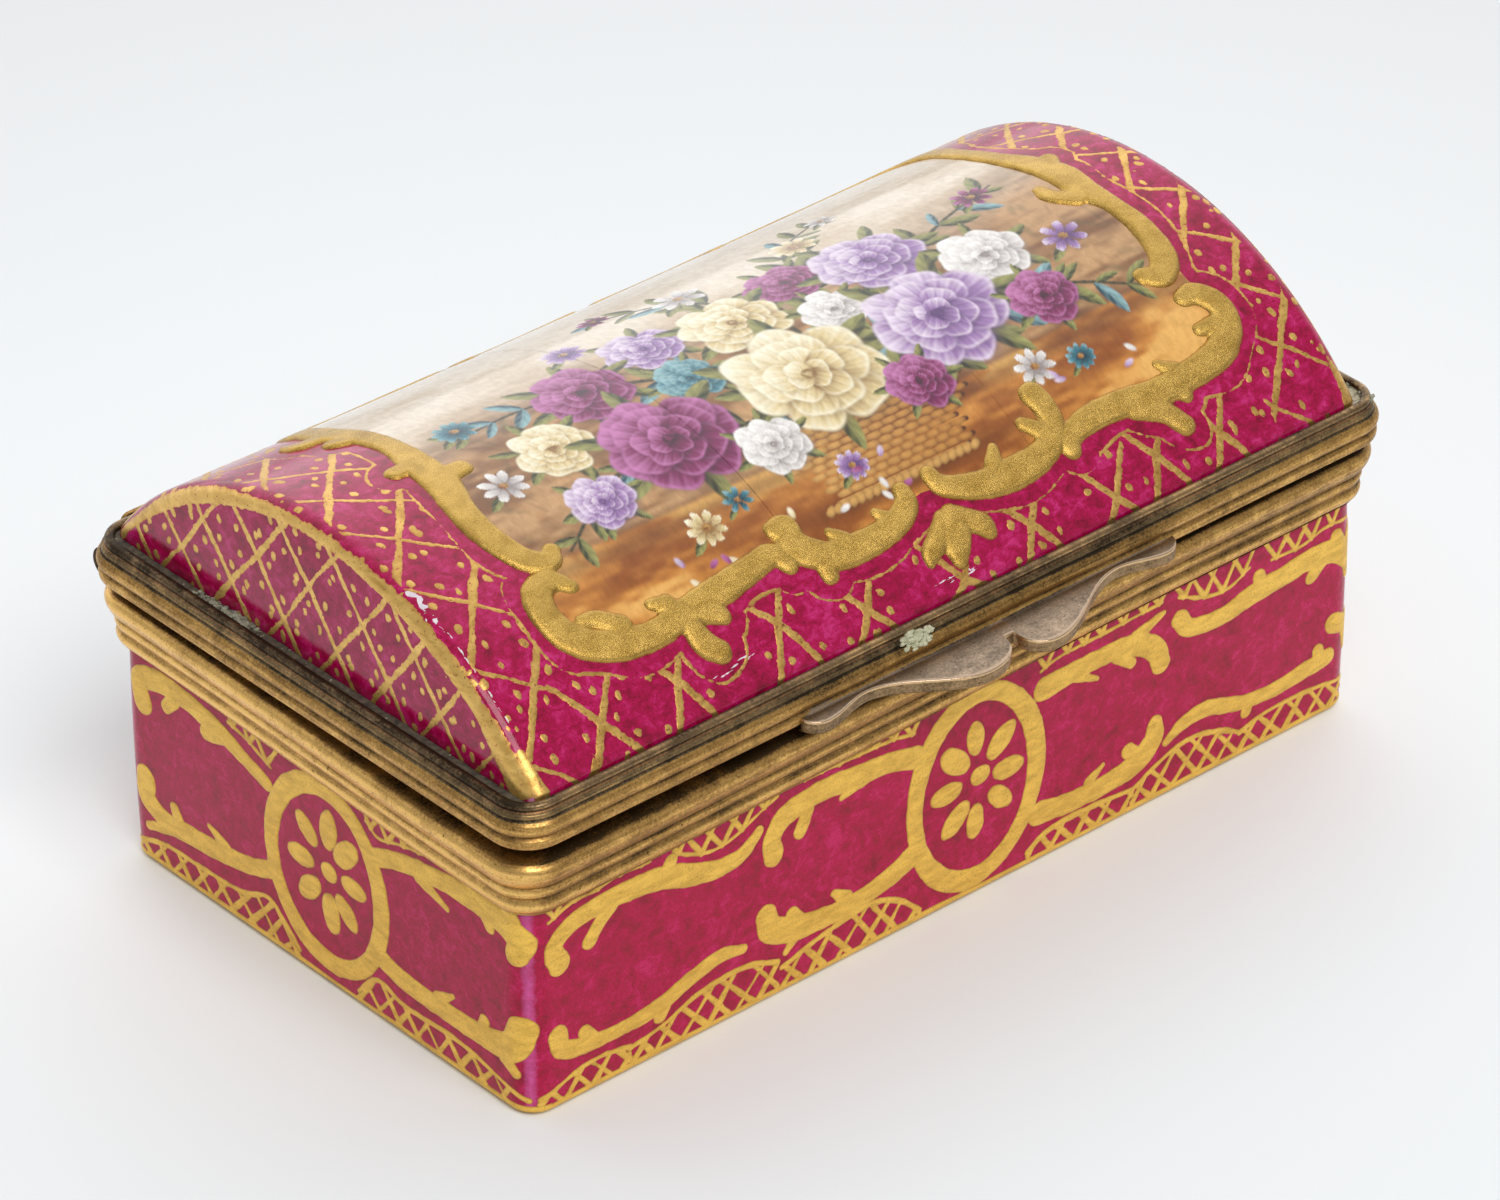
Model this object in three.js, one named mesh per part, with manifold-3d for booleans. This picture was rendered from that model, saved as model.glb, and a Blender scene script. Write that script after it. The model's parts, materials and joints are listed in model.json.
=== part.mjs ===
// Porcelain jewelry box with gilt-brass mounts: a low oblong tray, a barrel-topped lid,
// two moulded rims, a thumbpiece and a full-length hinge at the back.
// Millimetres. X runs along the box, the thumbpiece side faces -Y, +Z is up.
// The origin is the centre of the footprint, on the table.
import * as THREE from 'three';
import { mergeVertices } from 'three/addons/utils/BufferGeometryUtils.js';
import Module from 'manifold-3d';

const wasm = await Module();
wasm.setup();

// Driving sizes of the whole box, over the lid's rim
const boxLength = 100;
const boxWidth = 59.2;

// Driving sizes of the porcelain tray. Insets run in from the size over the lid's rim.
const trayEndInset = 2.15;
const traySideInset = 2.4;
const trayHeight = 26.2;
const trayCornerRadius = 2.4;
const trayWall = 3.8;
const trayFloor = 3.6;
const trayBulge = 0.2;          // how far the walls swell at mid height
const footEdgeRadius = 0.9;     // rounded gilt edge at the table
const cavityCornerRadius = 2.2;
const cavityFloorRadius = 1.8;
const neckDepth = 0.9;          // the unglazed neck that the rim covers is set in by this

// Driving sizes of the porcelain lid
const lidEndInset = 2.8;
const lidSideInset = 1.8;
const lidSkirt = 3.5;           // straight side below the arch
const lidRise = 13.5;           // height of the arch at the ends
const lidDip = 1.0;             // the crown is this much lower at mid length
const lidWall = 2.0;
const lidEdgeRadius = 1.6;
const lidShift = -0.2;          // the porcelain is cemented off centre along X

// Driving sizes of the brass mounts
const baseRimHeight = 5.5;
const baseRimRise = 1.0;        // top of the rim above the tray
const baseRimReach = 2.05;      // how far the base rim stands out of the tray
const baseRimLap = 0.3;         // how far its lower edge laps the glazed wall
const rimGap = 1.1;             // daylight between the two rims
const lidRimHeight = 4.1;
const lidRimReach = 2.15;       // from the rim's inner datum line to its fullest band
const lidRimCornerRadius = 1.8; // of the same datum line
const rimWall = 1.25;           // brass behind the fullest band
const lipReach = 1.3;           // outer face of the lip, from the same datum line
const lipWidth = 0.8;
const lipDepth = 0.8;
const lipRounding = 0.2;
const flangeThickness = 0.8;
const collarThickness = 0.6;
const collarOverlap = 0.3;      // how far the collar stands up inside the lid
const stripLedge = 0.2;         // least width of the strip inside the collar
const shelfThickness = 0.6;
const shelfWidth = 2.2;

// Rim sections, from the lower outer edge up: [share of the rim's reach, share of its height].
// The base rim is a bead, an ogee and a full band; the lid's is a bead, a band and a step.
const baseRimSection = [
  [0.24, 0], [0.41, 0.07], [0.56, 0.15], [0.58, 0.23], [0.49, 0.31], [0.58, 0.38], [0.63, 0.46],
  [0.56, 0.53], [0.76, 0.62], [0.92, 0.72], [1, 0.82], [0.94, 0.91], [0.74, 1],
];
const lidRimSection = [
  [0.79, 0], [0.91, 0.07], [0.93, 0.15], [0.91, 0.23], [0.84, 0.28], [0.93, 0.35], [1, 0.47],
  [0.93, 0.6], [0.77, 0.68], [0.79, 0.75], [0.7, 0.82],
];
const lidBeadRow = 2;           // row of the lid rim's section at the bead's fullest line

// Driving sizes of the thumbpiece, a two-lobed ledge that stands out of the lid's rim.
// Places are measured from the notch along X, reaches from the rim outwards.
const thumbThickness = 1.3;
const thumbRise = 0.8;          // its upper face above the underside of the lid's rim
const thumbSlope = 8;           // degrees that it falls away outwards
const thumbCentre = 1.6;
const thumbLength = 42.6;
const thumbNotchReach = 1.8;
const thumbLobePlace = 3.9;
const thumbLobeReach = 4.5;
const thumbWaistPlace = 14.4;
const thumbWaistReach = 0.5;
const thumbEndPlace = 19.4;
const thumbEndReach = 1.5;

// Driving sizes of the hinge
const hingeEndInset = 2.7;
const knuckleCount = 9;
const knuckleRadius = 1.45;
const pinRadius = 0.6;
const hingeOut = 0.4;           // axis beyond the fullest line of the lid's rim
const leafThickness = 0.5;
const leafEndInset = 2.3;       // from the end of the hinge
const baseLeafHeight = 3.6;
const lidLeafHeight = 2.4;

// Clearances
const fitGap = 0.1;             // soldered, cemented or seated pieces
const runningGap = 0.3;         // pieces that move past each other
const pinGap = 0.12;            // around the hinge pin
const solderGap = 0.15;         // leaf or thumbpiece against its rim

// Fineness of the round forms
const leastCornerRadius = 0.4;
const edgeSteps = 3;
const cornerSteps = 5;
const wallSteps = 3;
const archSteps = 22;
const lengthSteps = 8;
const roundSteps = 24;
const outlineSteps = 5;

// Heights, stacked from the table up
const baseRimTop = trayHeight + baseRimRise;
const baseRimBottom = baseRimTop - baseRimHeight;
const neckBottom = baseRimBottom + baseRimLap;
const rimJoint = baseRimTop + rimGap;
const lidRimTop = rimJoint + lidRimHeight;
const lidFoot = rimJoint + shelfThickness + fitGap;
const lidSpring = lidFoot + lidSkirt;
const lidPeak = lidSpring + lidRise;

// Plans and places tied to the sizes above
const trayHalf = {
  length: boxLength / 2 - trayEndInset,
  width: boxWidth / 2 - traySideInset,
  radius: trayCornerRadius,
};
const rimHalf = {
  length: boxLength / 2 - lidRimReach,
  width: boxWidth / 2 - lidRimReach,
  radius: lidRimCornerRadius,
};
const lidHalf = {
  length: boxLength / 2 - lidEndInset,
  width: boxWidth / 2 - lidSideInset,
  radius: lidEdgeRadius,
  shift: lidShift,
};
const cavityHalf = { ...offset(trayHalf, -trayWall), radius: cavityCornerRadius };
const wellHalf = { ...offset(lidHalf, -lidWall), radius: lidEdgeRadius };
const collarOuter = {
  length: wellHalf.length - runningGap - Math.abs(lidShift),
  width: wellHalf.width - runningGap,
  radius: wellHalf.radius - runningGap,
};
const collarInner = offset(collarOuter, -collarThickness);
const stripInner = {
  length: Math.min(cavityHalf.length + fitGap, collarInner.length - stripLedge),
  width: Math.min(cavityHalf.width + fitGap, collarInner.width - stripLedge),
  radius: cavityCornerRadius,
};
const lidRimInner = offset(rimHalf, lidRimReach - rimWall);
const hingeLength = boxLength - 2 * hingeEndInset;
const leafLength = hingeLength - 2 * leafEndInset;
const hingeY = boxWidth / 2 + hingeOut;
const hingeZ = rimJoint - rimGap / 2;
const hingeSpace = knuckleRadius + runningGap;

const porcelain = { color: 0xa81c5a, roughness: 0.12, metalness: 0 };
const gilt = { color: 0x8f6a35, roughness: 0.38, metalness: 1 };
const bronze = { color: 0x6f6252, roughness: 0.35, metalness: 1 };
const plaster = { color: 0xcfc5a4, roughness: 0.9, metalness: 0 };

// A rounded rectangle in plan, made larger or smaller all round
function offset(half, distance) {
  return {
    ...half,
    length: half.length + distance,
    width: half.width + distance,
    radius: Math.max(half.radius + distance, leastCornerRadius),
  };
}

// Points of a rounded rectangle, anticlockwise seen from above
function planPoints(half, z) {
  const { shift = 0 } = half;
  const points = [];
  const corners = [[1, -1, -90], [1, 1, 0], [-1, 1, 90], [-1, -1, 180]];
  for (const [sideX, sideY, startAngle] of corners) {
    const centreX = shift + sideX * (half.length - half.radius);
    const centreY = sideY * (half.width - half.radius);
    for (let step = 0; step <= cornerSteps; step += 1) {
      const angle = THREE.MathUtils.degToRad(startAngle + 90 * step / cornerSteps);
      points.push(new THREE.Vector3(
        centreX + half.radius * Math.cos(angle), centreY + half.radius * Math.sin(angle), z));
    }
  }
  return points;
}

// A solid through rounded rectangles [half, z]. A ring joins its last row to its first;
// any other solid is closed by flat faces on its first and last rows.
function loft(rows, isRing) {
  const sections = rows.map(([half, z]) => planPoints(half, z));
  const count = sections[0].length;
  const positions = sections.flat().flatMap((point) => point.toArray());
  const index = [];
  const spans = isRing ? sections.length : sections.length - 1;
  for (let row = 0; row < spans; row += 1) {
    const lower = row * count;
    const upper = ((row + 1) % sections.length) * count;
    for (let step = 0; step < count; step += 1) {
      const next = (step + 1) % count;
      index.push(lower + step, lower + next, upper + next, lower + step, upper + next, upper + step);
    }
  }
  if (!isRing) {
    const last = (sections.length - 1) * count;
    for (let step = 1; step < count - 1; step += 1) {
      index.push(0, step + 1, step, last, last + step, last + step + 1);
    }
  }
  const geometry = new THREE.BufferGeometry();
  geometry.setAttribute('position', new THREE.Float32BufferAttribute(positions, 3));
  geometry.setIndex(index);
  return geometry;
}

// A ring of square section between two rounded rectangles
function band(outer, inner, bottom, top) {
  return loft([[outer, bottom], [outer, top], [inner, top], [inner, bottom]], true);
}

function toSolid(geometry) {
  const bare = geometry.clone();
  bare.deleteAttribute('normal');
  bare.deleteAttribute('uv');
  const merged = mergeVertices(bare, 1e-4);
  return new wasm.Manifold(new wasm.Mesh({
    numProp: 3,
    vertProperties: Float32Array.from(merged.attributes.position.array),
    triVerts: Uint32Array.from(merged.index.array),
  }));
}

function toGeometry(solid) {
  const mesh = solid.getMesh();
  const geometry = new THREE.BufferGeometry();
  geometry.setAttribute('position', new THREE.Float32BufferAttribute(mesh.vertProperties, 3));
  geometry.setIndex(Array.from(mesh.triVerts));
  return geometry;
}

function cut(geometry, ...tools) {
  return toGeometry(tools.reduce((solid, tool) => solid.subtract(toSolid(tool)), toSolid(geometry)));
}

function named(name, geometry, finish) {
  const flat = geometry.index ? geometry.toNonIndexed() : geometry;
  flat.computeVertexNormals();
  const mesh = new THREE.Mesh(flat, new THREE.MeshStandardMaterial(finish));
  mesh.name = name;
  return mesh;
}

// A cylinder along X, centred at the given place
function rodAlongX(radius, length, x, y, z) {
  const geometry = new THREE.CylinderGeometry(radius, radius, length, roundSteps);
  geometry.rotateZ(-Math.PI / 2);
  geometry.translate(x, y, z);
  return geometry;
}

// Space that both rims leave free for the turning knuckles
function hingeChannel() {
  return rodAlongX(hingeSpace, hingeLength + 2 * runningGap, 0, hingeY, hingeZ);
}

// How far the tray's walls stand out of straight at a height
function swellAt(z) {
  return trayBulge * Math.sin(Math.PI * z / trayHeight);
}

// Quarter circle in equal steps, as [cosine, sine]
function quarter() {
  return Array.from({ length: edgeSteps + 1 }, (_, step) => {
    const angle = Math.PI / 2 * step / edgeSteps;
    return [Math.cos(angle), Math.sin(angle)];
  });
}

// The tray: one continuous skin from the flat underside, up the outside, over the edge
// and down to the floor
function baseBody() {
  const neck = offset(trayHalf, -neckDepth);
  const footEdge = quarter().reverse().map(([across, down]) => [
    offset(trayHalf, -footEdgeRadius * (1 - across)), footEdgeRadius * (1 - down)]);
  const wall = Array.from({ length: wallSteps }, (_, step) => {
    const z = footEdgeRadius + (neckBottom - footEdgeRadius) * (step + 1) / wallSteps;
    return [offset(trayHalf, swellAt(z)), z];
  });
  const cavityFloor = quarter().map(([across, down]) => [
    offset(cavityHalf, -cavityFloorRadius * (1 - across)),
    trayFloor + cavityFloorRadius * (1 - down)]);
  return loft([
    ...footEdge,
    ...wall,
    [neck, neckBottom],
    [neck, trayHeight],
    [cavityHalf, trayHeight],
    ...cavityFloor,
  ], false);
}

// Cement between the tray's neck and the rim
function baseCement() {
  const inner = offset(trayHalf, fitGap - neckDepth);
  return band(trayHalf, inner, neckBottom + fitGap, baseRimTop - flangeThickness - fitGap);
}

// The moulded base rim and its flange over the tray's edge
function baseRim() {
  const inside = offset(trayHalf, fitGap + swellAt(baseRimBottom));
  const flangeInner = offset(collarOuter, fitGap);
  const flangeBottom = baseRimTop - flangeThickness;
  const outline = baseRimSection.map(([reach, height]) => [
    offset(trayHalf, baseRimReach * reach), baseRimBottom + baseRimHeight * height]);
  return cut(loft([
    [inside, baseRimBottom],
    ...outline,
    [flangeInner, baseRimTop],
    [flangeInner, flangeBottom],
    [inside, flangeBottom],
  ], true), hingeChannel());
}

// The upright collar that the lid closes over, on a strip that covers the tray's inner edge
function baseBezel() {
  const bottom = trayHeight + fitGap;
  const stripTop = bottom + collarThickness;
  const collarTop = lidFoot + collarOverlap;
  return loft([
    [stripInner, bottom],
    [collarOuter, bottom],
    [collarOuter, collarTop],
    [collarInner, collarTop],
    [collarInner, stripTop],
    [stripInner, stripTop],
  ], true);
}

// Section of the lid in the YZ plane, drawn as (y, z): straight sides and one round arch
function archShape(half, foot, spring, peak) {
  const rise = peak - spring;
  const radius = (half * half + rise * rise) / (2 * rise);
  const halfAngle = Math.asin(half / radius);
  const shape = new THREE.Shape();
  shape.moveTo(-half, foot);
  shape.lineTo(half, foot);
  for (let step = 0; step <= archSteps; step += 1) {
    const angle = halfAngle * (1 - 2 * step / archSteps);
    shape.lineTo(radius * Math.sin(angle), peak - radius + radius * Math.cos(angle));
  }
  return shape;
}

// The arch drawn out along X with rounded ends, dipping towards mid length
function barrel(half, foot, spring, peak) {
  const edge = half.radius;
  const geometry = new THREE.ExtrudeGeometry(archShape(half.width, foot - 2 * edge, spring, peak), {
    depth: 2 * (half.length - edge),
    steps: lengthSteps,
    bevelSize: edge,
    bevelOffset: -edge,
    bevelThickness: edge,
    bevelSegments: edgeSteps,
  });
  geometry.translate(0, 0, -(half.length - edge));
  // The section's x becomes Y, its y becomes Z and the depth becomes X
  geometry.applyMatrix4(new THREE.Matrix4().makeBasis(
    new THREE.Vector3(0, 1, 0), new THREE.Vector3(0, 0, 1), new THREE.Vector3(1, 0, 0)));
  const position = geometry.attributes.position;
  for (let point = 0; point < position.count; point += 1) {
    const along = position.getX(point) / half.length;
    const height = Math.max(0, (position.getZ(point) - spring) / (peak - spring));
    position.setZ(point, position.getZ(point) - lidDip * (1 - along * along) * height);
  }
  geometry.translate(half.shift, 0, 0);
  return geometry;
}

function lidBody() {
  const outside = barrel(lidHalf, lidFoot, lidSpring, lidPeak);
  const inside = barrel(wellHalf, lidFoot, lidSpring - lidWall / 2, lidPeak - lidWall);
  const below = new THREE.BoxGeometry(2 * boxLength, 2 * boxWidth, lidFoot);
  below.translate(0, 0, lidFoot / 2);
  return cut(outside, inside, below);
}

// The lid's moulded rim, with a smooth upstanding lip round the porcelain
function lidRim() {
  const outline = lidRimSection.map(([reach, height]) => [
    offset(rimHalf, lidRimReach * reach), rimJoint + lidRimHeight * height]);
  return cut(loft([
    [lidRimInner, rimJoint],
    ...outline,
    [offset(rimHalf, lipReach), lidRimTop - lipDepth],
    [offset(rimHalf, lipReach), lidRimTop - lipRounding],
    [offset(rimHalf, lipReach - lipRounding), lidRimTop],
    [offset(rimHalf, lipReach - lipWidth + lipRounding), lidRimTop],
    [offset(rimHalf, lipReach - lipWidth), lidRimTop - lipRounding],
    [offset(rimHalf, lipReach - lipWidth), lidRimTop - lipDepth / 2],
    [lidRimInner, lidRimTop - lipDepth],
  ], true), hingeChannel());
}

// The flat shelf inside the lid's rim, under the porcelain's foot
function lidShelf() {
  const outer = offset(lidRimInner, -2 * fitGap);
  return band(outer, offset(outer, -shelfWidth), rimJoint, rimJoint + shelfThickness);
}

// Cement between the lid's porcelain and its rim
function lidCement() {
  const outer = offset(lidRimInner, -fitGap);
  const inner = { ...offset(lidHalf, fitGap), radius: lidEdgeRadius };
  return band(outer, inner, rimJoint + shelfThickness + fitGap, lidRimTop - lipDepth - fitGap);
}

// The thumbpiece in plan: an end lobe, a waist and a deep lobe on each side of the notch
function thumbOutline() {
  const shape = new THREE.Shape();
  const end = thumbLength / 2;
  // A smooth S from one turning point of the outline to the next
  const wave = (fromPlace, fromReach, toPlace, toReach) => {
    const middle = (fromPlace + toPlace) / 2;
    shape.quadraticCurveTo(
      (fromPlace + middle) / 2, -fromReach, middle, -(fromReach + toReach) / 2);
    shape.quadraticCurveTo((middle + toPlace) / 2, -toReach, toPlace, -toReach);
  };
  shape.moveTo(-end, 0);
  shape.quadraticCurveTo(-end, -thumbEndReach, -thumbEndPlace, -thumbEndReach);
  wave(-thumbEndPlace, thumbEndReach, -thumbWaistPlace, thumbWaistReach);
  wave(-thumbWaistPlace, thumbWaistReach, -thumbLobePlace, thumbLobeReach);
  shape.quadraticCurveTo(-thumbLobePlace / 2, -thumbLobeReach, 0, -thumbNotchReach);
  shape.quadraticCurveTo(thumbLobePlace / 2, -thumbLobeReach, thumbLobePlace, -thumbLobeReach);
  wave(thumbLobePlace, thumbLobeReach, thumbWaistPlace, thumbWaistReach);
  wave(thumbWaistPlace, thumbWaistReach, thumbEndPlace, thumbEndReach);
  shape.quadraticCurveTo(end, -thumbEndReach, end, 0);
  return shape;
}

function thumbpiece() {
  const beadReach = lidRimReach * lidRimSection[lidBeadRow][0];
  const geometry = new THREE.ExtrudeGeometry(thumbOutline(), {
    depth: thumbThickness, bevelEnabled: false, curveSegments: outlineSteps,
  });
  geometry.translate(0, 0, -thumbThickness);
  geometry.rotateX(THREE.MathUtils.degToRad(thumbSlope));
  geometry.translate(
    thumbCentre, -(rimHalf.width + beadReach + solderGap), rimJoint + thumbRise);
  return geometry;
}

// Straps behind the rims that the knuckles are soldered to
function hingeLeaf(faceY, bottom, height) {
  const geometry = new THREE.BoxGeometry(leafLength, leafThickness, height);
  geometry.translate(0, faceY + solderGap + leafThickness / 2, bottom + height / 2);
  return geometry;
}

function knuckle(order) {
  const pitch = hingeLength / knuckleCount;
  const length = pitch - runningGap;
  const x = -hingeLength / 2 + pitch * (order + 0.5);
  const tube = rodAlongX(knuckleRadius, length, x, hingeY, hingeZ);
  const bore = rodAlongX(pinRadius + pinGap, 2 * length, x, hingeY, hingeZ);
  return cut(tube, bore);
}

const box = new THREE.Group();
const base = new THREE.Group();
const lid = new THREE.Group();
box.add(base, lid);

base.add(named('base_body', baseBody(), porcelain));
base.add(named('base_cement', baseCement(), plaster));
base.add(named('base_rim', baseRim(), gilt));
base.add(named('base_bezel', baseBezel(), gilt));
const baseLeafTop = hingeZ - knuckleRadius - fitGap;
base.add(named('hinge_leaf_base', hingeLeaf(
  trayHalf.width + baseRimReach, baseLeafTop - baseLeafHeight, baseLeafHeight), gilt));
base.add(named('hinge_pin', rodAlongX(pinRadius, hingeLength, 0, hingeY, hingeZ), gilt));

lid.add(named('lid_body', lidBody(), porcelain));
lid.add(named('lid_cement', lidCement(), plaster));
lid.add(named('lid_rim', lidRim(), gilt));
lid.add(named('lid_shelf', lidShelf(), gilt));
const lidLeafBottom = hingeZ + knuckleRadius + fitGap;
lid.add(named('hinge_leaf_lid', hingeLeaf(boxWidth / 2, lidLeafBottom, lidLeafHeight), gilt));
lid.add(named('thumbpiece', thumbpiece(), bronze));

for (let order = 0; order < knuckleCount; order += 1) {
  const isBase = order % 2 === 0;
  const owner = isBase ? 'base' : 'lid';
  const place = Math.floor(order / 2) + 1;
  (isBase ? base : lid).add(named(`hinge_knuckle_${owner}_${place}`, knuckle(order), gilt));
}

export default box;
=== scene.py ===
"""Porcelain jewelry box with gilt mounts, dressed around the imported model.

Lengths are millimetres until a mesh is written in metres. Light and camera are in metres.
X runs along the box, the thumbpiece side faces -Y, +Z is up.
"""

import json
import math

import bpy
import numpy as np
from mathutils import Matrix, Vector


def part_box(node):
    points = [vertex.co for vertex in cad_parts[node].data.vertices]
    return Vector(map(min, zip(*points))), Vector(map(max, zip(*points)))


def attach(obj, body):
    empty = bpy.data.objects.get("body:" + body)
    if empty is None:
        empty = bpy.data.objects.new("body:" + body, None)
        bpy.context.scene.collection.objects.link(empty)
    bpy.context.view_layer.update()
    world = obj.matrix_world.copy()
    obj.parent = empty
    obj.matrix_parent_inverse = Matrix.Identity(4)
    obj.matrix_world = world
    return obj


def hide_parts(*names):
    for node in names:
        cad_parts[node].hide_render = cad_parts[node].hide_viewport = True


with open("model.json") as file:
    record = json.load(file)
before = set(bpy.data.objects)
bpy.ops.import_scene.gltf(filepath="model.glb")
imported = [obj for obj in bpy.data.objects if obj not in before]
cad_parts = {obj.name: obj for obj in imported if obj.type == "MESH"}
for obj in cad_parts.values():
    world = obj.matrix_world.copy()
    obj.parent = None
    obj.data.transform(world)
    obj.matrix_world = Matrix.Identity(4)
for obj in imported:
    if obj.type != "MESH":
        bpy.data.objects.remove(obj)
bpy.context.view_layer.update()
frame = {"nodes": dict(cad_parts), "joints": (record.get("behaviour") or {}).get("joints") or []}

MM = 0.001


def box_mm(node):
    return [np.array(corner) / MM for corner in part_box(node)]


# Sizes read from the frame
tray_high = box_mm("base_body")[1]
rim_low, rim_high = box_mm("base_rim")
lid_low, lid_high = box_mm("lid_body")
lid_rim_low, lid_rim_high = box_mm("lid_rim")
bezel_low, bezel_high = box_mm("base_bezel")
shelf_low, shelf_high = box_mm("lid_shelf")
thumb_low, thumb_high = box_mm("thumbpiece")
pin_low, pin_high = box_mm("hinge_pin")
knuckle_low, knuckle_high = box_mm("hinge_knuckle_base_1")
hinge_at = np.array(frame["joints"][0]["pos_m"]) / MM

# Sizes of the porcelain that the frame's boxes don't give
TRAY_BULGE = 0.2
TRAY_RADIUS = 2.4
FOOT_RADIUS = 0.9
TRAY_WALL = 3.8
TRAY_FLOOR = 3.6
CAVITY_RADIUS = 2.2
CAVITY_FLOOR_RADIUS = 1.8
NECK_DEPTH = 0.9
NECK_BOTTOM = rim_low[2] + 0.3
LID_WALL = 2.0
LID_SKIRT = 3.5
LID_RISE = 13.5
LID_DIP = 1.0
LID_RADIUS = 1.6
CORNER_RUB_AND_SHEEN = 1.15               # how far the glaze is rubbed, with a painted reflection over it, beside the tray's corners

tray_half = tray_high[:2] - TRAY_BULGE
tray_top = tray_high[2]
lid_half = (lid_high[:2] - lid_low[:2]) / 2
lid_shift = (lid_high[0] + lid_low[0]) / 2
lid_foot = lid_low[2]


# Mesh helpers

def smoothstep(value):
    value = np.clip(value, 0, 1)
    return value * value * (3 - 2 * value)


def waves(seed, along, longest, count=5, falloff=0.6):
    """A smooth seeded wobble between about -1 and 1 along a length."""
    draw = np.random.default_rng(seed)
    phase = 2 * math.pi * along / longest
    total = sum(falloff ** order * np.sin(phase * (order + 1) + draw.uniform(0, 2 * math.pi))
                for order in range(count))
    return total / sum(falloff ** order for order in range(count))


def value_noise(seed, points, cell):
    """Seeded noise between -1 and 1, smooth over one cell."""
    scaled = np.asarray(points, float) / cell
    corner = np.floor(scaled).astype(np.int64)
    part = smoothstep(scaled - corner)
    total = 0.0
    for offset in np.ndindex((2,) * scaled.shape[-1]):
        key = np.full(scaled.shape[:-1], seed * 7919 + 13, np.int64)
        weight = 1.0
        for axis, step in enumerate(offset[::-1]):
            key = key * 73856093 ^ (corner[..., axis] + step) * (19349663 + 83492791 * axis)
            weight = weight * (part[..., axis] if step else 1 - part[..., axis])
        key = (key ^ (key >> 13)) * 1274126177
        total = total + weight * (((key >> 8) & 0xFFFF) / 32767.5 - 1)
    return total


def make_mesh(name, points, faces, materials, body, kinds=None, attributes=(), colours=None,
              smooth=True, replaces=()):
    """A piece from points and groups of faces, riding on a body. kinds gives each face's material."""
    mesh = bpy.data.meshes.new(name)
    faces = [face for group in faces for face in group.tolist()]
    mesh.from_pydata((np.asarray(points) * MM).tolist(), [], faces)
    for material in materials:
        mesh.materials.append(material)
    if kinds is not None:
        mesh.polygons.foreach_set("material_index", np.asarray(kinds, np.int32))
    mesh.polygons.foreach_set("use_smooth", np.full(len(faces), smooth))
    for label, values in dict(attributes).items():
        mesh.attributes.new(label, "FLOAT", "POINT").data.foreach_set("value", np.asarray(values, np.float32))
    if colours is not None:
        rgba = np.column_stack([colours, np.ones(len(colours))]).astype(np.float32)
        mesh.color_attributes.new("paint", "FLOAT_COLOR", "POINT").data.foreach_set("color", rgba.ravel())
    mesh.validate()
    piece = bpy.data.objects.new(name, mesh)
    bpy.context.scene.collection.objects.link(piece)
    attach(piece, body)
    if replaces:
        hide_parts(*replaces)


CORNER_STEPS = 12
SIDE_STEPS = (150, 88)          # along a long side and along an end
OUTWARD = np.array([(0.0, -1.0), (1.0, 0.0), (0.0, 1.0), (-1.0, 0.0)])


def plan_ring(half, radius, shift=0.0):
    """Points of a rounded rectangle in plan, anticlockwise, with their outward directions."""
    radius = max(radius, 0.05)
    flat = np.array(half) - radius
    points, normals = [], []
    for number, out in enumerate(OUTWARD):
        along = OUTWARD[(number + 1) % 4]
        start, end = (flat * (out + way) + radius * out for way in (-along, along))
        share = np.linspace(0, 1, SIDE_STEPS[number % 2] + 1)[:, None]
        angle = math.atan2(out[1], out[0]) + math.pi / 2 * np.arange(1, CORNER_STEPS) / CORNER_STEPS
        corner = np.stack([np.cos(angle), np.sin(angle)], 1)
        points += [start + (end - start) * share, flat * (out + along) + radius * corner]
        normals += [np.tile(out, (len(share), 1)), corner]
    points = np.concatenate(points)
    points[:, 0] += shift
    return points, np.concatenate(normals)


def ring_length(points):
    """How far along a ring each of its points lies."""
    steps = np.hypot(*np.diff(points, axis=0, append=points[:1]).T)
    return np.concatenate([[0], np.cumsum(steps)[:-1]])


def flat_ring(half, radius, z):
    ring = plan_ring(half, radius)[0]
    return np.column_stack([ring, np.full(len(ring), z)])


def skin(rows, closed):
    """Points and quads of rows that each go once round, and the first and the last row as faces.

    If closed, quads also join the last row to the first."""
    grid = np.arange(len(rows) * len(rows[0])).reshape(len(rows), -1)
    low = grid if closed else grid[:-1]
    high = np.roll(grid, -1, 0)[:len(low)]
    quads = np.stack([low, np.roll(low, -1, 1), np.roll(high, -1, 1), high], -1).reshape(-1, 4)
    return np.concatenate(rows), quads, grid[:1, ::-1], grid[-1:]


def curve_through(points, steps):
    """A smooth curve through points of any width, each span cut into steps."""
    points = np.asarray(points, float)
    padded = np.concatenate([[2 * points[0] - points[1]], points, [2 * points[-1] - points[-2]]])
    share = (np.arange(steps) / steps)[:, None]
    result = []
    for a, b, c, d in zip(padded, padded[1:], padded[2:], padded[3:]):
        result.append(0.5 * (2 * b + (c - a) * share + (2 * a - 5 * b + 4 * c - d) * share ** 2
                             + (3 * b - a - 3 * c + d) * share ** 3))
    return np.concatenate(result + [points[-1:]])


# Drawing on a flat canvas, later laid on the porcelain

def segment(u, v, start, end):
    """How far along a segment the places lie, as a share of it, and their distance from it."""
    du, dv = end[0] - start[0], end[1] - start[1]
    share = np.clip(((u - start[0]) * du + (v - start[1]) * dv) / max(du ** 2 + dv ** 2, 1e-9), 0, 1)
    return share, np.hypot(u - start[0] - du * share, v - start[1] - dv * share)


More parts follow.
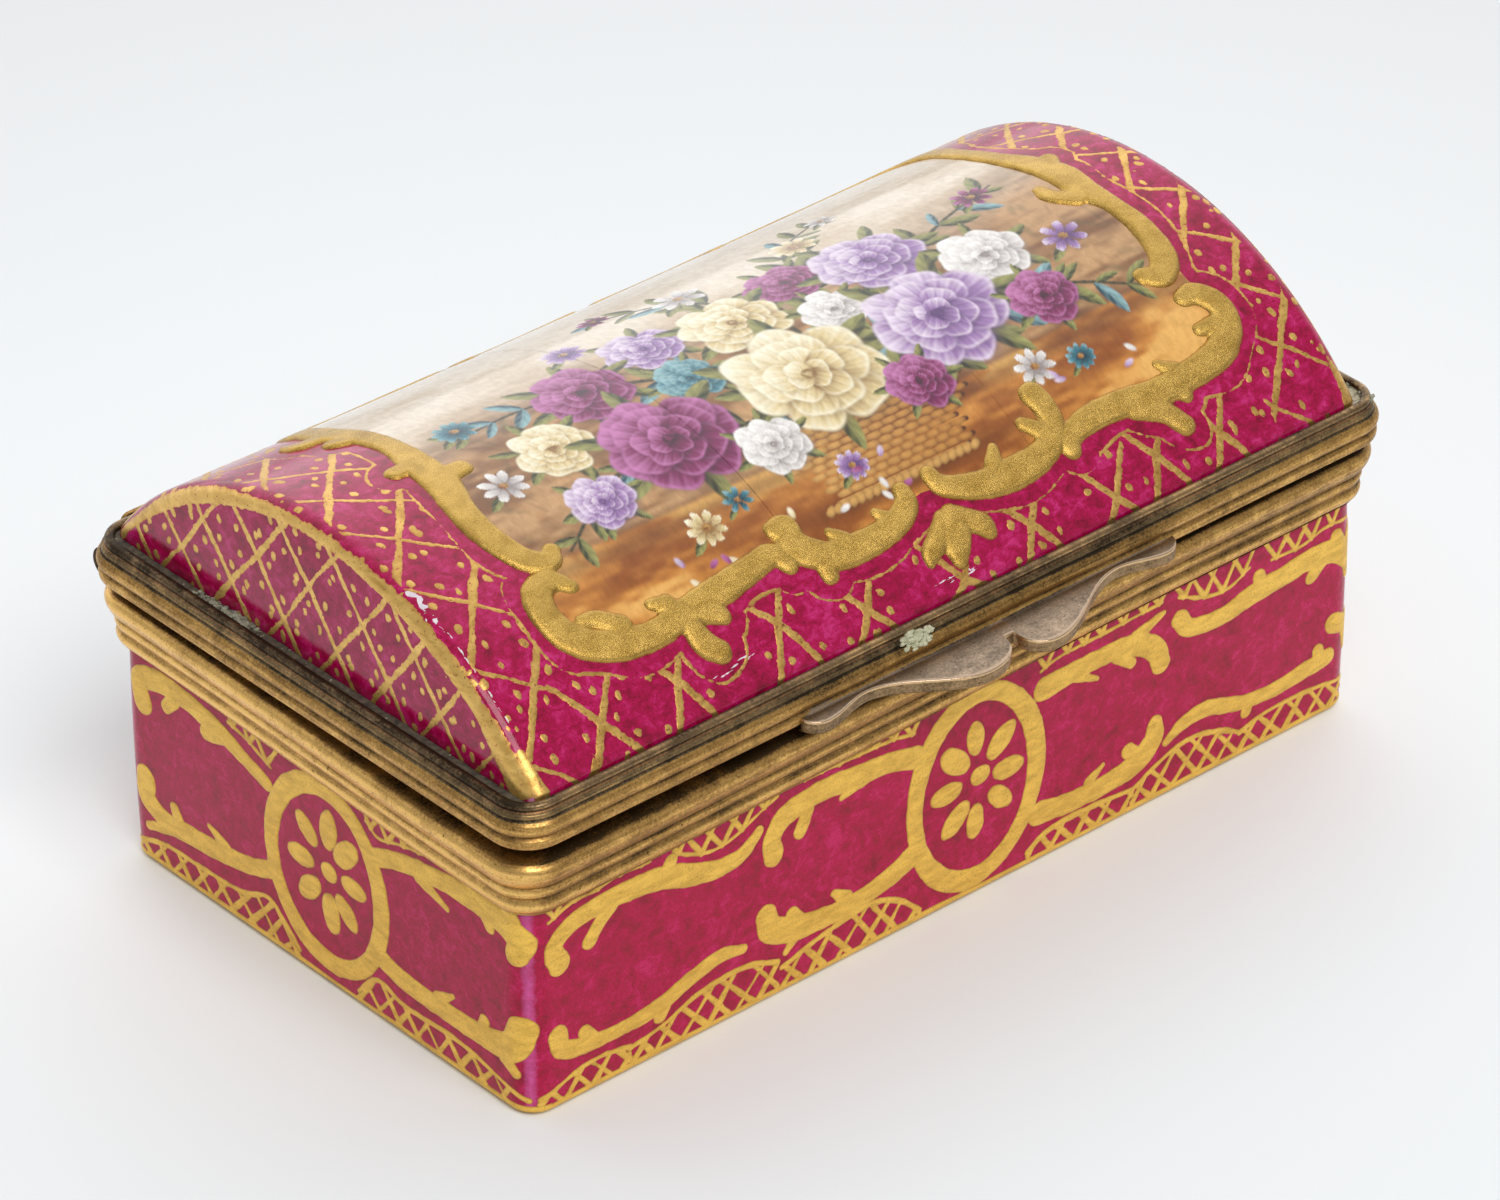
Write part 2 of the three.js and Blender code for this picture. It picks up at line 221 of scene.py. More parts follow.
class Canvas:
    """A drawing over (u, v): field is positive inside the paint, relief says how thick it lies."""

    def __init__(self, u_range, v_range, step, margin=1.0):
        self.step = step
        self.margin = margin
        self.u, self.v = (np.arange(low, high + step, step) for low, high in (u_range, v_range))
        self.U, self.V = np.meshgrid(self.u, self.v, indexing="ij")
        self.field = np.full(self.U.shape, -margin - 1.0)
        self.relief = np.zeros(self.U.shape)

    def window(self, u, v, reach):
        """The part of the grid within reach of some places."""
        spans = ((self.u, u), (self.v, v))
        return tuple(slice(*np.searchsorted(grid, [min(at) - reach, max(at) + reach])) for grid, at in spans)

    def stretches(self, line, spare):
        """For each stretch of a line, a window, shares along it, distances and its two half widths."""
        for a, b in zip(line[:-1], line[1:]):
            where = self.window((a[0], b[0]), (a[1], b[1]), max(a[2], b[2]) + spare)
            yield where, *segment(self.U[where], self.V[where], a, b), a[2], b[2]

    def turned(self, u, v, long, short, angle, reach):
        """A window round an oval turned by degrees, with places in shares of its half axes."""
        where = self.window((u,), (v,), reach)
        cosine, sine = math.cos(math.radians(angle)), math.sin(math.radians(angle))
        du, dv = self.U[where] - u, self.V[where] - v
        return where, (du * cosine + dv * sine) / long, (dv * cosine - du * sine) / short

    def mark(self, where, field, relief):
        self.field[where] = np.maximum(self.field[where], field)
        self.relief[where] = np.maximum(self.relief[where], relief)

    def stroke(self, places, lift=1.0, smooth=True):
        """A brush stroke through (u, v, half width)."""
        line = curve_through(places, 8) if smooth and len(places) > 2 else np.asarray(places, float)
        for where, share, away, first, last in self.stretches(line, self.margin):
            radius = first + (last - first) * share
            dome = np.sqrt(np.clip(1 - (away / np.maximum(radius, 0.05)) ** 2, 0, 1))
            self.mark(where, radius - away, lift * dome * np.minimum(radius, 1.3))

    def oval(self, u, v, long, short, angle=0.0, lift=1.0):
        where, along, across = self.turned(u, v, long, short, angle, max(long, short) + 1.0)
        away = np.hypot(along, across)
        self.mark(where, (1 - away) * min(long, short),
                  lift * np.sqrt(np.clip(1 - away ** 2, 0, 1)) * min(short, 1.2))

    def hoop(self, u, v, long, high, width):
        """An oval band."""
        turn = np.linspace(0, 2 * math.pi, 97)
        width = width + 0.08 * np.sin(3 * turn + 1)
        self.stroke(np.stack([u + long * np.cos(turn), v + high * np.sin(turn), width], 1), smooth=False)

    def add(self, field):
        self.field = np.maximum(self.field, field)

    def keep_inside(self, mask):
        self.field = np.minimum(self.field, mask)

    def roughen(self, seed, amount, cell):
        """A hand-painted edge."""
        points = np.stack([self.U, self.V], -1)
        rough = value_noise(seed, points, cell) + 0.5 * value_noise(seed + 1, points, cell / 2.3)
        self.field += amount * rough

    def soften(self, reach):
        """Rounds the joins between strokes, as thick paint does."""
        half = int(round(reach / self.step))
        weight = np.exp(-0.5 * (np.arange(-half, half + 1) / (half / 2)) ** 2)
        weight /= weight.sum()
        for name, swell in (("field", 0.10), ("relief", 0.0)):
            grid = np.clip(getattr(self, name), -1.0, None)
            for axis in (0, 1):
                grid = np.apply_along_axis(np.convolve, axis, grid, weight, "same")
            setattr(self, name, grid + swell)

    def outline_mesh(self):
        """Vertices (u, v, field, relief) and face groups of the painted area, by marching squares."""
        inside = self.field > 0
        node = np.arange(inside.size).reshape(inside.shape)
        a, b, c, d = node[:-1, :-1], node[1:, :-1], node[1:, 1:], node[:-1, 1:]
        code = sum(np.take(inside, corner) * 2 ** order for order, corner in enumerate((a, b, c, d)))
        # e, f, g and h are where the outline crosses the sides ab, bc, dc and ad
        size = inside.size
        corners = dict(zip("abcdefgh", (a, b, c, d, size + a, 2 * size + b, size + d, 2 * size + a)))
        shapes = {1: "aeh", 2: "bfe", 3: "abfh", 4: "cgf", 5: "aeh cgf", 6: "bcge", 7: "abcgh", 8: "dhg",
                  9: "aegd", 10: "bfe dhg", 11: "abfgd", 12: "cdhf", 13: "aefcd", 14: "bcdhe", 15: "abcd"}
        groups = {3: [], 4: [], 5: []}
        for number, polygons in shapes.items():
            where = code == number
            for polygon in polygons.split():
                groups[len(polygon)].append(np.stack([corners[key][where] for key in polygon], 1))
        faces = [np.concatenate(found) for found in groups.values()]
        used, order = np.unique(np.concatenate([group.ravel() for group in faces]), return_inverse=True)
        split = np.cumsum([group.size for group in faces])[:-1]
        faces = [part.reshape(group.shape) for part, group in zip(np.split(order, split), faces)]
        kind, index = np.divmod(used, size)
        i, j = np.divmod(index, inside.shape[1])
        ahead = (i + (kind == 1), j + (kind == 2))
        crossed = self.field[i, j] - self.field[ahead]
        share = np.where(kind > 0, self.field[i, j] / np.where(crossed == 0, 1, crossed), 0)
        u, v = (grid[i, j] * (1 - share) + grid[ahead] * share for grid in (self.U, self.V))
        field, relief = (np.where(kind > 0, 0, grid[i, j]) for grid in (self.field, self.relief))
        return u, v, field, relief, faces


# Surfaces of the porcelain: each takes canvas places and a height above the glaze

def round_over(depth, radius):
    """How far a rounded edge draws in, at a depth below the face that it meets."""
    return radius - np.sqrt(radius ** 2 - np.clip(radius - depth, 0, radius) ** 2)


def tray_out(z):
    """How far the tray's side swells or draws in at its foot."""
    return TRAY_BULGE * np.sin(np.pi * np.clip(z, 0, tray_top) / tray_top) - round_over(z, FOOT_RADIUS)


def tray_surface(turn):
    """A side of the tray, turn quarter turns from the front. u runs to the right as that side is faced."""
    half = tray_half[::-1] if turn % 2 else tray_half
    flat = half[0] - TRAY_RADIUS

    def place(u, z, height):
        radius = TRAY_RADIUS + tray_out(z) + height
        angle = np.clip(np.abs(u) - flat, 0, TRAY_RADIUS * math.pi / 2) / TRAY_RADIUS
        x = np.sign(u) * (np.minimum(np.abs(u), flat) + radius * np.sin(angle))
        y = -(half[1] - TRAY_RADIUS + radius * np.cos(angle))
        return np.stack([*[(x, y), (-y, x), (-x, -y), (y, -x)][turn], z], -1)

    return place


class Arch:
    """The lid's section: skirts up to the spring, and a round arch that dips a little in the lid's middle."""

    def __init__(self, half, spring, rise):
        self.half = half
        self.spring = spring
        self.rise = rise
        self.radius = (half[1] ** 2 + rise ** 2) / (2 * rise)
        self.centre = spring + rise - self.radius
        self.angle = math.asin(half[1] / self.radius)

    def dipped(self, x, z):
        """A height on the arch, lowered by the dip."""
        along = np.clip((x - lid_shift) / self.half[0], -1, 1)
        return z - LID_DIP * (1 - along ** 2) * np.clip((z - self.spring) / self.rise, 0, 1)

    def row(self, x, inset):
        """One section at x: up the front skirt, over the arch, down the back."""
        turn = np.linspace(-self.angle, self.angle, 121)
        y = (self.radius - inset) * np.sin(turn)
        z = self.dipped(x, self.centre + (self.radius - inset) * np.cos(turn))
        side = np.linspace(0, 1, 6)[:-1]
        front_y = -(self.half[1] - inset) + (y[0] + self.half[1] - inset) * side
        front_z = lid_foot + (z[0] - lid_foot) * side
        y = np.concatenate([front_y, y, -front_y[::-1]])
        return np.column_stack([np.full(len(y), x), y, np.concatenate([front_z, z, front_z[::-1]])])


lid_spring = lid_foot + LID_SKIRT
lid_peak = lid_spring + LID_RISE
arch = Arch(lid_half, lid_spring, LID_RISE)


def lid_surface(x, s, height):
    """s runs over the arch from the crown: negative to the front, positive to the back."""
    angle = np.clip(s / arch.radius, -arch.angle, arch.angle)
    below = np.clip(np.abs(s) - arch.radius * arch.angle, 0, None)
    radius = arch.radius - round_over(lid_half[0] - np.abs(x - lid_shift), LID_RADIUS) + height
    z = arch.centre + radius * np.cos(angle) - below
    return np.stack([x, radius * np.sin(angle), arch.dipped(x, z)], -1)


def lid_end_surface(direction):
    """The lid's end, direction -1 or 1, over (y, z)."""
    def place(y, z, height):
        depth = np.minimum(arch.radius - np.hypot(y, z - arch.centre), lid_half[1] - np.abs(y))
        x = lid_shift + direction * (lid_half[0] - round_over(depth, LID_RADIUS) + height)
        return np.stack([x, y, z], -1)

    return place


PAINT_EDGE = 0.3                # how far in from its outline the paint counts as edge


def lay(name, canvas, place, profile, material, body="lid", flip=False):
    """Lays the painted area of a canvas on a surface as a skin with that height profile."""
    u, v, field, relief, faces = canvas.outline_mesh()
    if flip:
        faces = [group[:, ::-1] for group in faces]
    make_mesh(name, place(u, v, profile(u, v, field, relief)), faces, [material], body,
              attributes={"edge": np.clip(field / PAINT_EDGE, 0, 1)})


def flat_paint(thickness, edge=0.22, sink=0.02):
    def profile(u, v, field, relief):
        return (thickness + sink) * (1 - (1 - np.clip(field / edge, 0, 1)) ** 2) - sink

    return profile


RELIEF_TOP = 0.70               # the relief at which raised gold levels off
RAISED_HEIGHT = 0.42
RAISED_PLATEAU = 0.13
FAR_SIDE = 18                   # how far over the crown the paint begins to thin out


def raised_paint(u, v, field, relief):
    """Thick paint with a rounded edge, thinner on the far side of the crown."""
    points = np.stack([u, v], -1)
    grain = 0.006 * value_noise(72, points, 0.35) + 0.009 * value_noise(73, points, 1.8)
    rise = np.sqrt(np.clip(1 - (1 - np.clip(field / 0.42, 0, 1)) ** 2, 0, 1))
    swell = RAISED_HEIGHT * RELIEF_TOP * np.tanh(relief / RELIEF_TOP)
    return (swell + RAISED_PLATEAU + grain) * rise * (1 - 0.5 * smoothstep((v - FAR_SIDE) / 6)) - 0.04


# Materials

PLAIN = (1, 1, 1)


class Nodes:
    """Builds the node tree of a material or of the world. Its methods take and give sockets."""

    def __init__(self, owner, end="Principled BSDF"):
        owner.use_nodes = True
        self.owner = owner
        self.tree = owner.node_tree
        self.end = self.tree.nodes[end]

    def feed(self, node, inputs):
        for key, value in inputs.items():
            socket = node.inputs[key]
            if isinstance(value, bpy.types.NodeSocket):
                self.tree.links.new(value, socket)
            else:
                socket.default_value = (*value, 1) if socket.type == "RGBA" else value

    def node(self, kind, inputs=(), output=0, **settings):
        node = self.tree.nodes.new("ShaderNode" + kind)
        for name, value in settings.items():
            setattr(node, name, value)
        self.feed(node, dict(inputs))
        return node.outputs[output]

    def noise(self, scale, detail=3, roughness=0.55, distortion=0, stretch=PLAIN):
        """Noise over object coordinates in millimetres, stretched."""
        place = self.node("TexCoord", output="Object")
        place = self.node("Mapping", {"Vector": place, "Scale": [value / MM for value in stretch]}, "Vector")
        inputs = {"Vector": place, "Scale": scale, "Detail": detail, "Roughness": roughness}
        return self.node("TexNoise", {**inputs, "Distortion": distortion}, "Fac")

    def ramp(self, source, *stops):
        """Colour by value; stops are (value, colour)."""
        colour = self.node("ValToRGB", {"Fac": source}, "Color")
        elements = colour.node.color_ramp.elements
        elements[0].position, elements[1].position = stops[0][0], stops[-1][0]
        for position, _ in stops[1:-1]:
            elements.new(position)
        for element, (_, shade) in zip(elements, stops):
            element.color = (*shade, 1)
        return colour

    def grey(self, source, low, high, from_low=0, from_high=1, **settings):
        return self.node("MapRange", {"Value": source, "From Min": from_low, "From Max": from_high,
                                      "To Min": low, "To Max": high}, "Result", **settings)

    def blend(self, factor, first, second, mode="MIX"):
        return self.node("Mix", {0: factor, 6: first, 7: second}, 2, data_type="RGBA", blend_type=mode)

    def multiply(self, first, second, factor=1):
        return self.blend(factor, first, second, "MULTIPLY")

    def add(self, total, *others):
        for other in others:
            total = self.node("Math", {0: total, 1: other}, operation="ADD")
        return total

    def attribute(self, name, output="Fac"):
        return self.node("Attribute", (), output, attribute_name=name)

    def finish(self, inputs, distance=0, *bumps):
        """Feeds the shader, bumped by (height, strength) sources, and gives the material."""
        normal = {}
        for height, strength in bumps:
            normal = {"Normal": self.node("Bump", {"Height": height, "Strength": strength,
                                                   "Distance": distance * MM, **normal}, "Normal")}
        self.feed(self.end, {**inputs, **normal})
        return self.owner


def new_material(name):
    return Nodes(bpy.data.materials.new(name))


def claret_glaze(name, stops, roughness, specular, rubbed_and_sheen):
    """Sponged claret ground under a clear glaze, turned pale where the attribute wear_and_sheen says: rubbed
    glaze with a painted sheen on it.
    """
    nodes = new_material(name)
    sponge = nodes.noise(0.75, 6, 0.72, 0.6)
    cloud = nodes.noise(0.20, 4, 0.6, 0.6)
    brushed = nodes.noise(2, 3, 0.6, stretch=(0.5, 0.5, 2.2))
    tone = nodes.add(nodes.grey(sponge, -0.66, 0.66), nodes.grey(cloud, -0.24, 0.24),
                     nodes.grey(brushed, 0.36, 0.66))
    spots = nodes.ramp(nodes.noise(6.5, 2, 0.6), (0.30, (0.66, 0.62, 0.52)), (0.50, PLAIN))
    colour = nodes.multiply(nodes.ramp(tone, *stops), spots)
    rub_and_sheen = nodes.add(nodes.grey(nodes.attribute("wear_and_sheen"), 0, 1.5),
                    nodes.grey(nodes.noise(1.6, 4, 0.7), 0, -1.3))
    colour = nodes.blend(nodes.grey(rub_and_sheen, 0, 0.85, 0.12, 1.10), colour, rubbed_and_sheen)
    return nodes.finish({"Base Color": colour, "Roughness": roughness, "IOR": 1.54,
                         "Specular IOR Level": specular}, 0.25, (nodes.noise(0.35, 2), 0.10), (sponge, 0.05))


def white_glaze(name):
    nodes = new_material(name)
    colour = nodes.ramp(nodes.noise(0.08, 3), (0.3, (0.74, 0.735, 0.70)), (0.7, (0.80, 0.80, 0.785)))
    spots = nodes.ramp(nodes.noise(1.9, 2), (0.20, (0.55, 0.50, 0.42)), (0.235, PLAIN))
    return nodes.finish({"Base Color": nodes.multiply(colour, spots), "Roughness": 0.14, "IOR": 1.54},
                        0.25, (nodes.noise(0.25, 2), 0.12))


def enamel_painting(name):
    nodes = new_material(name)
    brush = nodes.noise(1.3, 4, 0.6, 0.5, (1.4, 0.7, 1))
    tone = nodes.ramp(brush, (0.3, (0.86, 0.84, 0.80)), (0.7, (1.08, 1.07, 1.06)))
    colour = nodes.multiply(nodes.attribute("paint", "Color"), tone)
    return nodes.finish({"Base Color": colour, "Roughness": 0.12, "IOR": 1.56},
                        0.25, (nodes.noise(0.35, 2), 0.10))


def gold_paint(name, dark, light, metallic, roughness, grain, swell, worn, bites, outline):
    """Brushed gold, tinted by worn in its granules and by outline where the paint thins out.

    bites gives the granules' scale and the noise levels between which they fade."""
    nodes = new_material(name)
    cloud = nodes.noise(1, 4, 0.6, 0.5, (0.45, 0.45, 1.3))
    fine = nodes.noise(bites[0], 3, 0.65)
    colour = nodes.multiply(nodes.ramp(cloud, (0.30, dark), (0.62, light)),
                            nodes.ramp(fine, (bites[1], worn), (bites[2], PLAIN)))
    from_edge = nodes.add(nodes.attribute("edge"), nodes.grey(fine, 0.3, -0.3))
    colour = nodes.multiply(colour, nodes.ramp(from_edge, (0, outline), (0.55, PLAIN)))
    rough = nodes.grey(fine, roughness - 0.1, roughness + 0.12, 0.3, 0.7)
    return nodes.finish({"Base Color": colour, "Metallic": metallic, "Roughness": rough},
                        0.10, (cloud, swell), (fine, grain))


def aged_brass(name, bright, middle, dark, roughness=0.36, dirt=1, patchy=0.22):
    """Worn gilding: bright on the ridges, dark in the grooves, streaked along the mouldings; the
    groove_and_light attribute also brings painted light and painted highlights.
    """
    nodes = new_material(name)
    streak = nodes.noise(1, 4, 0.65, 0.15, (0.13, 0.13, 5))
    grain = nodes.noise(4.5, 4, 0.7, 0.3)
    pits = nodes.noise(2.4, 4, 0.75, 0.4)
    mottle = ((streak, 0.17), (nodes.noise(0.35, 5, 0.68, 0.6), patchy), (grain, 0.24))
    tone = nodes.add(*[nodes.grey(source, -reach, reach, 0.25, 0.75) for source, reach in mottle],
                     nodes.grey(nodes.attribute("groove_and_light"), -0.05, 1.26))
    colour = nodes.multiply(nodes.ramp(tone, (0.15, bright), (0.50, middle), (0.95, dark)),
                            nodes.ramp(pits, (0.325, (0.12, 0.10, 0.08)), (0.38, PLAIN)), 0.85 * dirt)
    rough = nodes.grey(tone, roughness - 0.14, roughness + 0.24)
    return nodes.finish({"Base Color": colour, "Metallic": 1, "Roughness": rough},
                        0.08, (streak, 0.22 * dirt), (grain, 0.18 * dirt), (pits, 0.12 * dirt))


def cement(name, light, dark):
    nodes = new_material(name)
    colour = nodes.ramp(nodes.noise(1.4, 5, 0.7, 0.3), (0.35, dark), (0.6, light))
    return nodes.finish({"Base Color": colour, "Roughness": 0.85}, 0.15, (nodes.noise(5), 0.6))


# The tray's pale corner colour is rubbed glaze and a painted reflection down each corner
claret_tray = claret_glaze("claret_glaze_tray", [
    (0.26, (0.28, 0.008, 0.030)), (0.42, (0.39, 0.006, 0.044)), (0.56, (0.46, 0.004, 0.060)),
    (0.74, (0.57, 0.012, 0.115))], 0.22, 0.22, (0.66, 0.12, 0.38))
# The lid's pale colour by its end edges is rubbed glaze and a painted highlight
claret_lid = claret_glaze("claret_glaze_lid", [
    (0.24, (0.19, 0.003, 0.024)), (0.42, (0.33, 0.002, 0.046)), (0.56, (0.42, 0.003, 0.076)),
    (0.76, (0.57, 0.028, 0.18))], 0.12, 0.32, (0.74, 0.34, 0.54))
white_inside = white_glaze("white_glaze")
painting = enamel_painting("enamel_painting")
painted_gold = gold_paint("painted_gold", (0.68, 0.39, 0.055), (0.93, 0.58, 0.095), 0.35, 0.45, 0.10, 0.16,
                          (0.58, 0.50, 0.40), (7, 0.30, 0.46), (0.40, 0.26, 0.20))
raised_gold = gold_paint("raised_gold", (0.49, 0.302, 0.065), (0.71, 0.458, 0.119), 0.95, 0.26, 0.44, 0.07,
                         (0.62, 0.55, 0.44), (12, 0.34, 0.60), (0.62, 0.50, 0.38))
lattice_gold = gold_paint("lattice_gold", (0.50, 0.27, 0.065), (0.78, 0.49, 0.14), 0.80, 0.36, 0.30, 0.10,
                          (0.55, 0.15, 0.42), (3.4, 0.30, 0.42), (0.78, 0.60, 0.60))
# A lighter copy of the lattice gold for the lid's ends: painted light, as the ends catch more light
end_gold_lit = gold_paint("lid_end_gold_lit", (0.62, 0.36, 0.085), (0.90, 0.58, 0.17), 0.70, 0.34, 0.30, 0.10,
                      (0.55, 0.15, 0.42), (3.4, 0.28, 0.40), (0.78, 0.60, 0.60))
brass = aged_brass("gilt_brass_worn", (0.88, 0.535, 0.165), (0.45, 0.252, 0.075), (0.064, 0.039, 0.017))
patina = aged_brass("gilt_brass_tarnished", (0.52, 0.32, 0.125), (0.21, 0.14, 0.068), (0.034, 0.025, 0.015),
                    0.40, 1, 0.30)
lip_metal = aged_brass("lip_worn_bare", (0.53, 0.322, 0.14), (0.235, 0.152, 0.078), (0.044, 0.030, 0.018),
                       0.32, 0.5, 0.36)
copper_tint = aged_brass("lip_foot_coppery", (0.66, 0.34, 0.14), (0.36, 0.185, 0.08), (0.08, 0.048, 0.028),
                         0.40)
thumb_metal = aged_brass("thumb_bronze_worn", (0.52, 0.375, 0.260), (0.28, 0.212, 0.152),
                         (0.075, 0.055, 0.038), 0.36, 0.9, 0.20)
thumb_side = aged_brass("thumb_edge_scratched", (0.74, 0.50, 0.26), (0.42, 0.275, 0.14), (0.10, 0.07, 0.04))
pin_metal = aged_brass("pin_brass_dull", (0.45, 0.32, 0.16), (0.3, 0.21, 0.1), (0.07, 0.05, 0.03))
cement_cream = cement("setting_cement", (0.50, 0.46, 0.33), (0.16, 0.135, 0.09))
cement_dirty = cement("setting_cement_dirty", (0.11, 0.088, 0.058), (0.026, 0.021, 0.015))
cement_crust = cement("rim_crust", (0.34, 0.335, 0.25), (0.075, 0.07, 0.05))
cement_fleck = cement("rim_fleck", (0.62, 0.60, 0.42), (0.33, 0.33, 0.20))
pale_chip_and_highlight = cement("bare_biscuit_and_highlight", (0.80, 0.74, 0.76), (0.62, 0.50, 0.58))


# The porcelain tray

def build_tray():
    neck = tray_half - NECK_DEPTH
    neck_radius = TRAY_RADIUS - NECK_DEPTH
    cavity = tray_half - TRAY_WALL
    arc = np.linspace(0, math.pi / 2, 9)
    heights = [*FOOT_RADIUS * (1 - np.cos(arc)), *np.linspace(FOOT_RADIUS, NECK_BOTTOM, 26)[1:]]
    outside = [(tray_half + tray_out(z), TRAY_RADIUS + tray_out(z), z) for z in heights]
    inside = [(neck, neck_radius, NECK_BOTTOM), (neck, neck_radius, tray_top - 0.3),
              (neck - 0.3, neck_radius - 0.3, tray_top), (cavity + 0.5, CAVITY_RADIUS + 0.5, tray_top),
              (cavity + 0.15, CAVITY_RADIUS + 0.15, tray_top - 0.15), (cavity, CAVITY_RADIUS, tray_top - 0.5)]
    for z in np.linspace(tray_top - 2, TRAY_FLOOR + CAVITY_FLOOR_RADIUS, 12):
        inside.append((cavity, CAVITY_RADIUS, z))
    for angle in arc[1:]:
        inset = CAVITY_FLOOR_RADIUS * (1 - math.cos(angle))
        inside.append((cavity - inset, max(CAVITY_RADIUS - inset, 0.3),
                       TRAY_FLOOR + CAVITY_FLOOR_RADIUS * (1 - math.sin(angle))))
    rows = [flat_ring(*level) for level in outside + inside]
    points, *faces = skin(rows, False)
    white = np.repeat(np.arange(len(rows) - 1) >= len(outside) - 1, len(rows[0]))
    # Rubbed glaze and a painted reflection down each vertical corner of the tray
    wear_and_sheen = np.zeros((len(rows), len(rows[0])))
    for order, (half, _, _) in enumerate(outside):
        from_ends = half - np.abs(rows[order][:, :2])
        wear_and_sheen[order] = np.exp(-((from_ends[:, 0] - from_ends[:, 1]) / CORNER_RUB_AND_SHEEN) ** 2)
    make_mesh("porcelain_tray", points, faces, [claret_tray, white_inside], "base",
              np.append(white, [1, 1]), {"wear_and_sheen": wear_and_sheen.ravel()}, replaces=["base_body"])


# Gold painted on the tray, drawn over (place along the side, height)

BAND_STEP = 0.125
PAINT_TOP = rim_low[2] + 0.25
PAINT_THICKNESS = 0.11
# The crossed strokes at the tray's foot
HATCH_FOOT = 0.7
HATCH_HIGH = 6
HATCH_PITCH = 2.8
HATCH_WIDTH = 0.37
HATCH_SLOPE = 1.25


def petal_ring(canvas, u, v, seed):
    """Eight petals round a boss."""
    draw = np.random.default_rng(seed)
    canvas.oval(u + draw.uniform(-0.3, 0.5), v + draw.uniform(-0.1, 0.5), 1.15, 1.05)
    for order in range(8):
        angle = 90 + 45 * order + draw.uniform(-5, 5)
        a = math.radians(angle)
        size = draw.uniform(0.92, 1.1)
        canvas.oval(u + 3.6 * math.cos(a), v + 4.3 * math.sin(a), 2.0 * size, 1.15 * size, angle)


def crosshatch(canvas, top, seed):
    """Crossed strokes between the foot and a scalloped upper line."""
    draw = np.random.default_rng(seed)
    u_line, v_line = curve_through(top, 6).T
    rise = np.linspace(0, HATCH_HIGH, 60)
    for direction in (-1, 1):
        start = u_line[0] - HATCH_HIGH
        while start < u_line[-1] + HATCH_HIGH:
            u = start + direction * rise / (HATCH_SLOPE * draw.uniform(0.85, 1.15))
            v = HATCH_FOOT + rise
            inside = (u > u_line[0]) & (u < u_line[-1]) & (v < np.interp(u, u_line, v_line))
            if inside.sum() > 4:
                u, v = u[inside], v[inside]
                half = HATCH_WIDTH * draw.uniform(0.75, 1.2)
                canvas.stroke([(u[0], v[0], half), (u[-1], v[-1], half * 0.85)], 0.6)
            start += HATCH_PITCH * draw.uniform(0.85, 1.15)
    canvas.stroke([(*place, HATCH_WIDTH * draw.uniform(0.75, 1.1)) for place in top], 0.6)


def hang_hatch(canvas, lines, seed):
    """Crossed strokes hanging from under the rim down to the given lines."""
    draw = np.random.default_rng(seed)
    for line in lines:
        canvas.stroke([(*place, 0.24) for place in line], 0.6)
        u_line, v_line = curve_through(line, 6).T
        at = u_line[0] + 0.6
        while at < u_line[-1]:
            foot = np.interp(at, u_line, v_line)
            lean = draw.uniform(0.5, 0.75) * (PAINT_TOP - foot)
            for direction in (-1, 1):
                canvas.stroke([(at, foot, 0.34), (at + direction * lean, PAINT_TOP, 0.28)], 0.6)
            at += draw.uniform(1.9, 2.6)


def mirrored(strokes):
    return [[(-u, *rest) for u, *rest in stroke] for stroke in strokes]


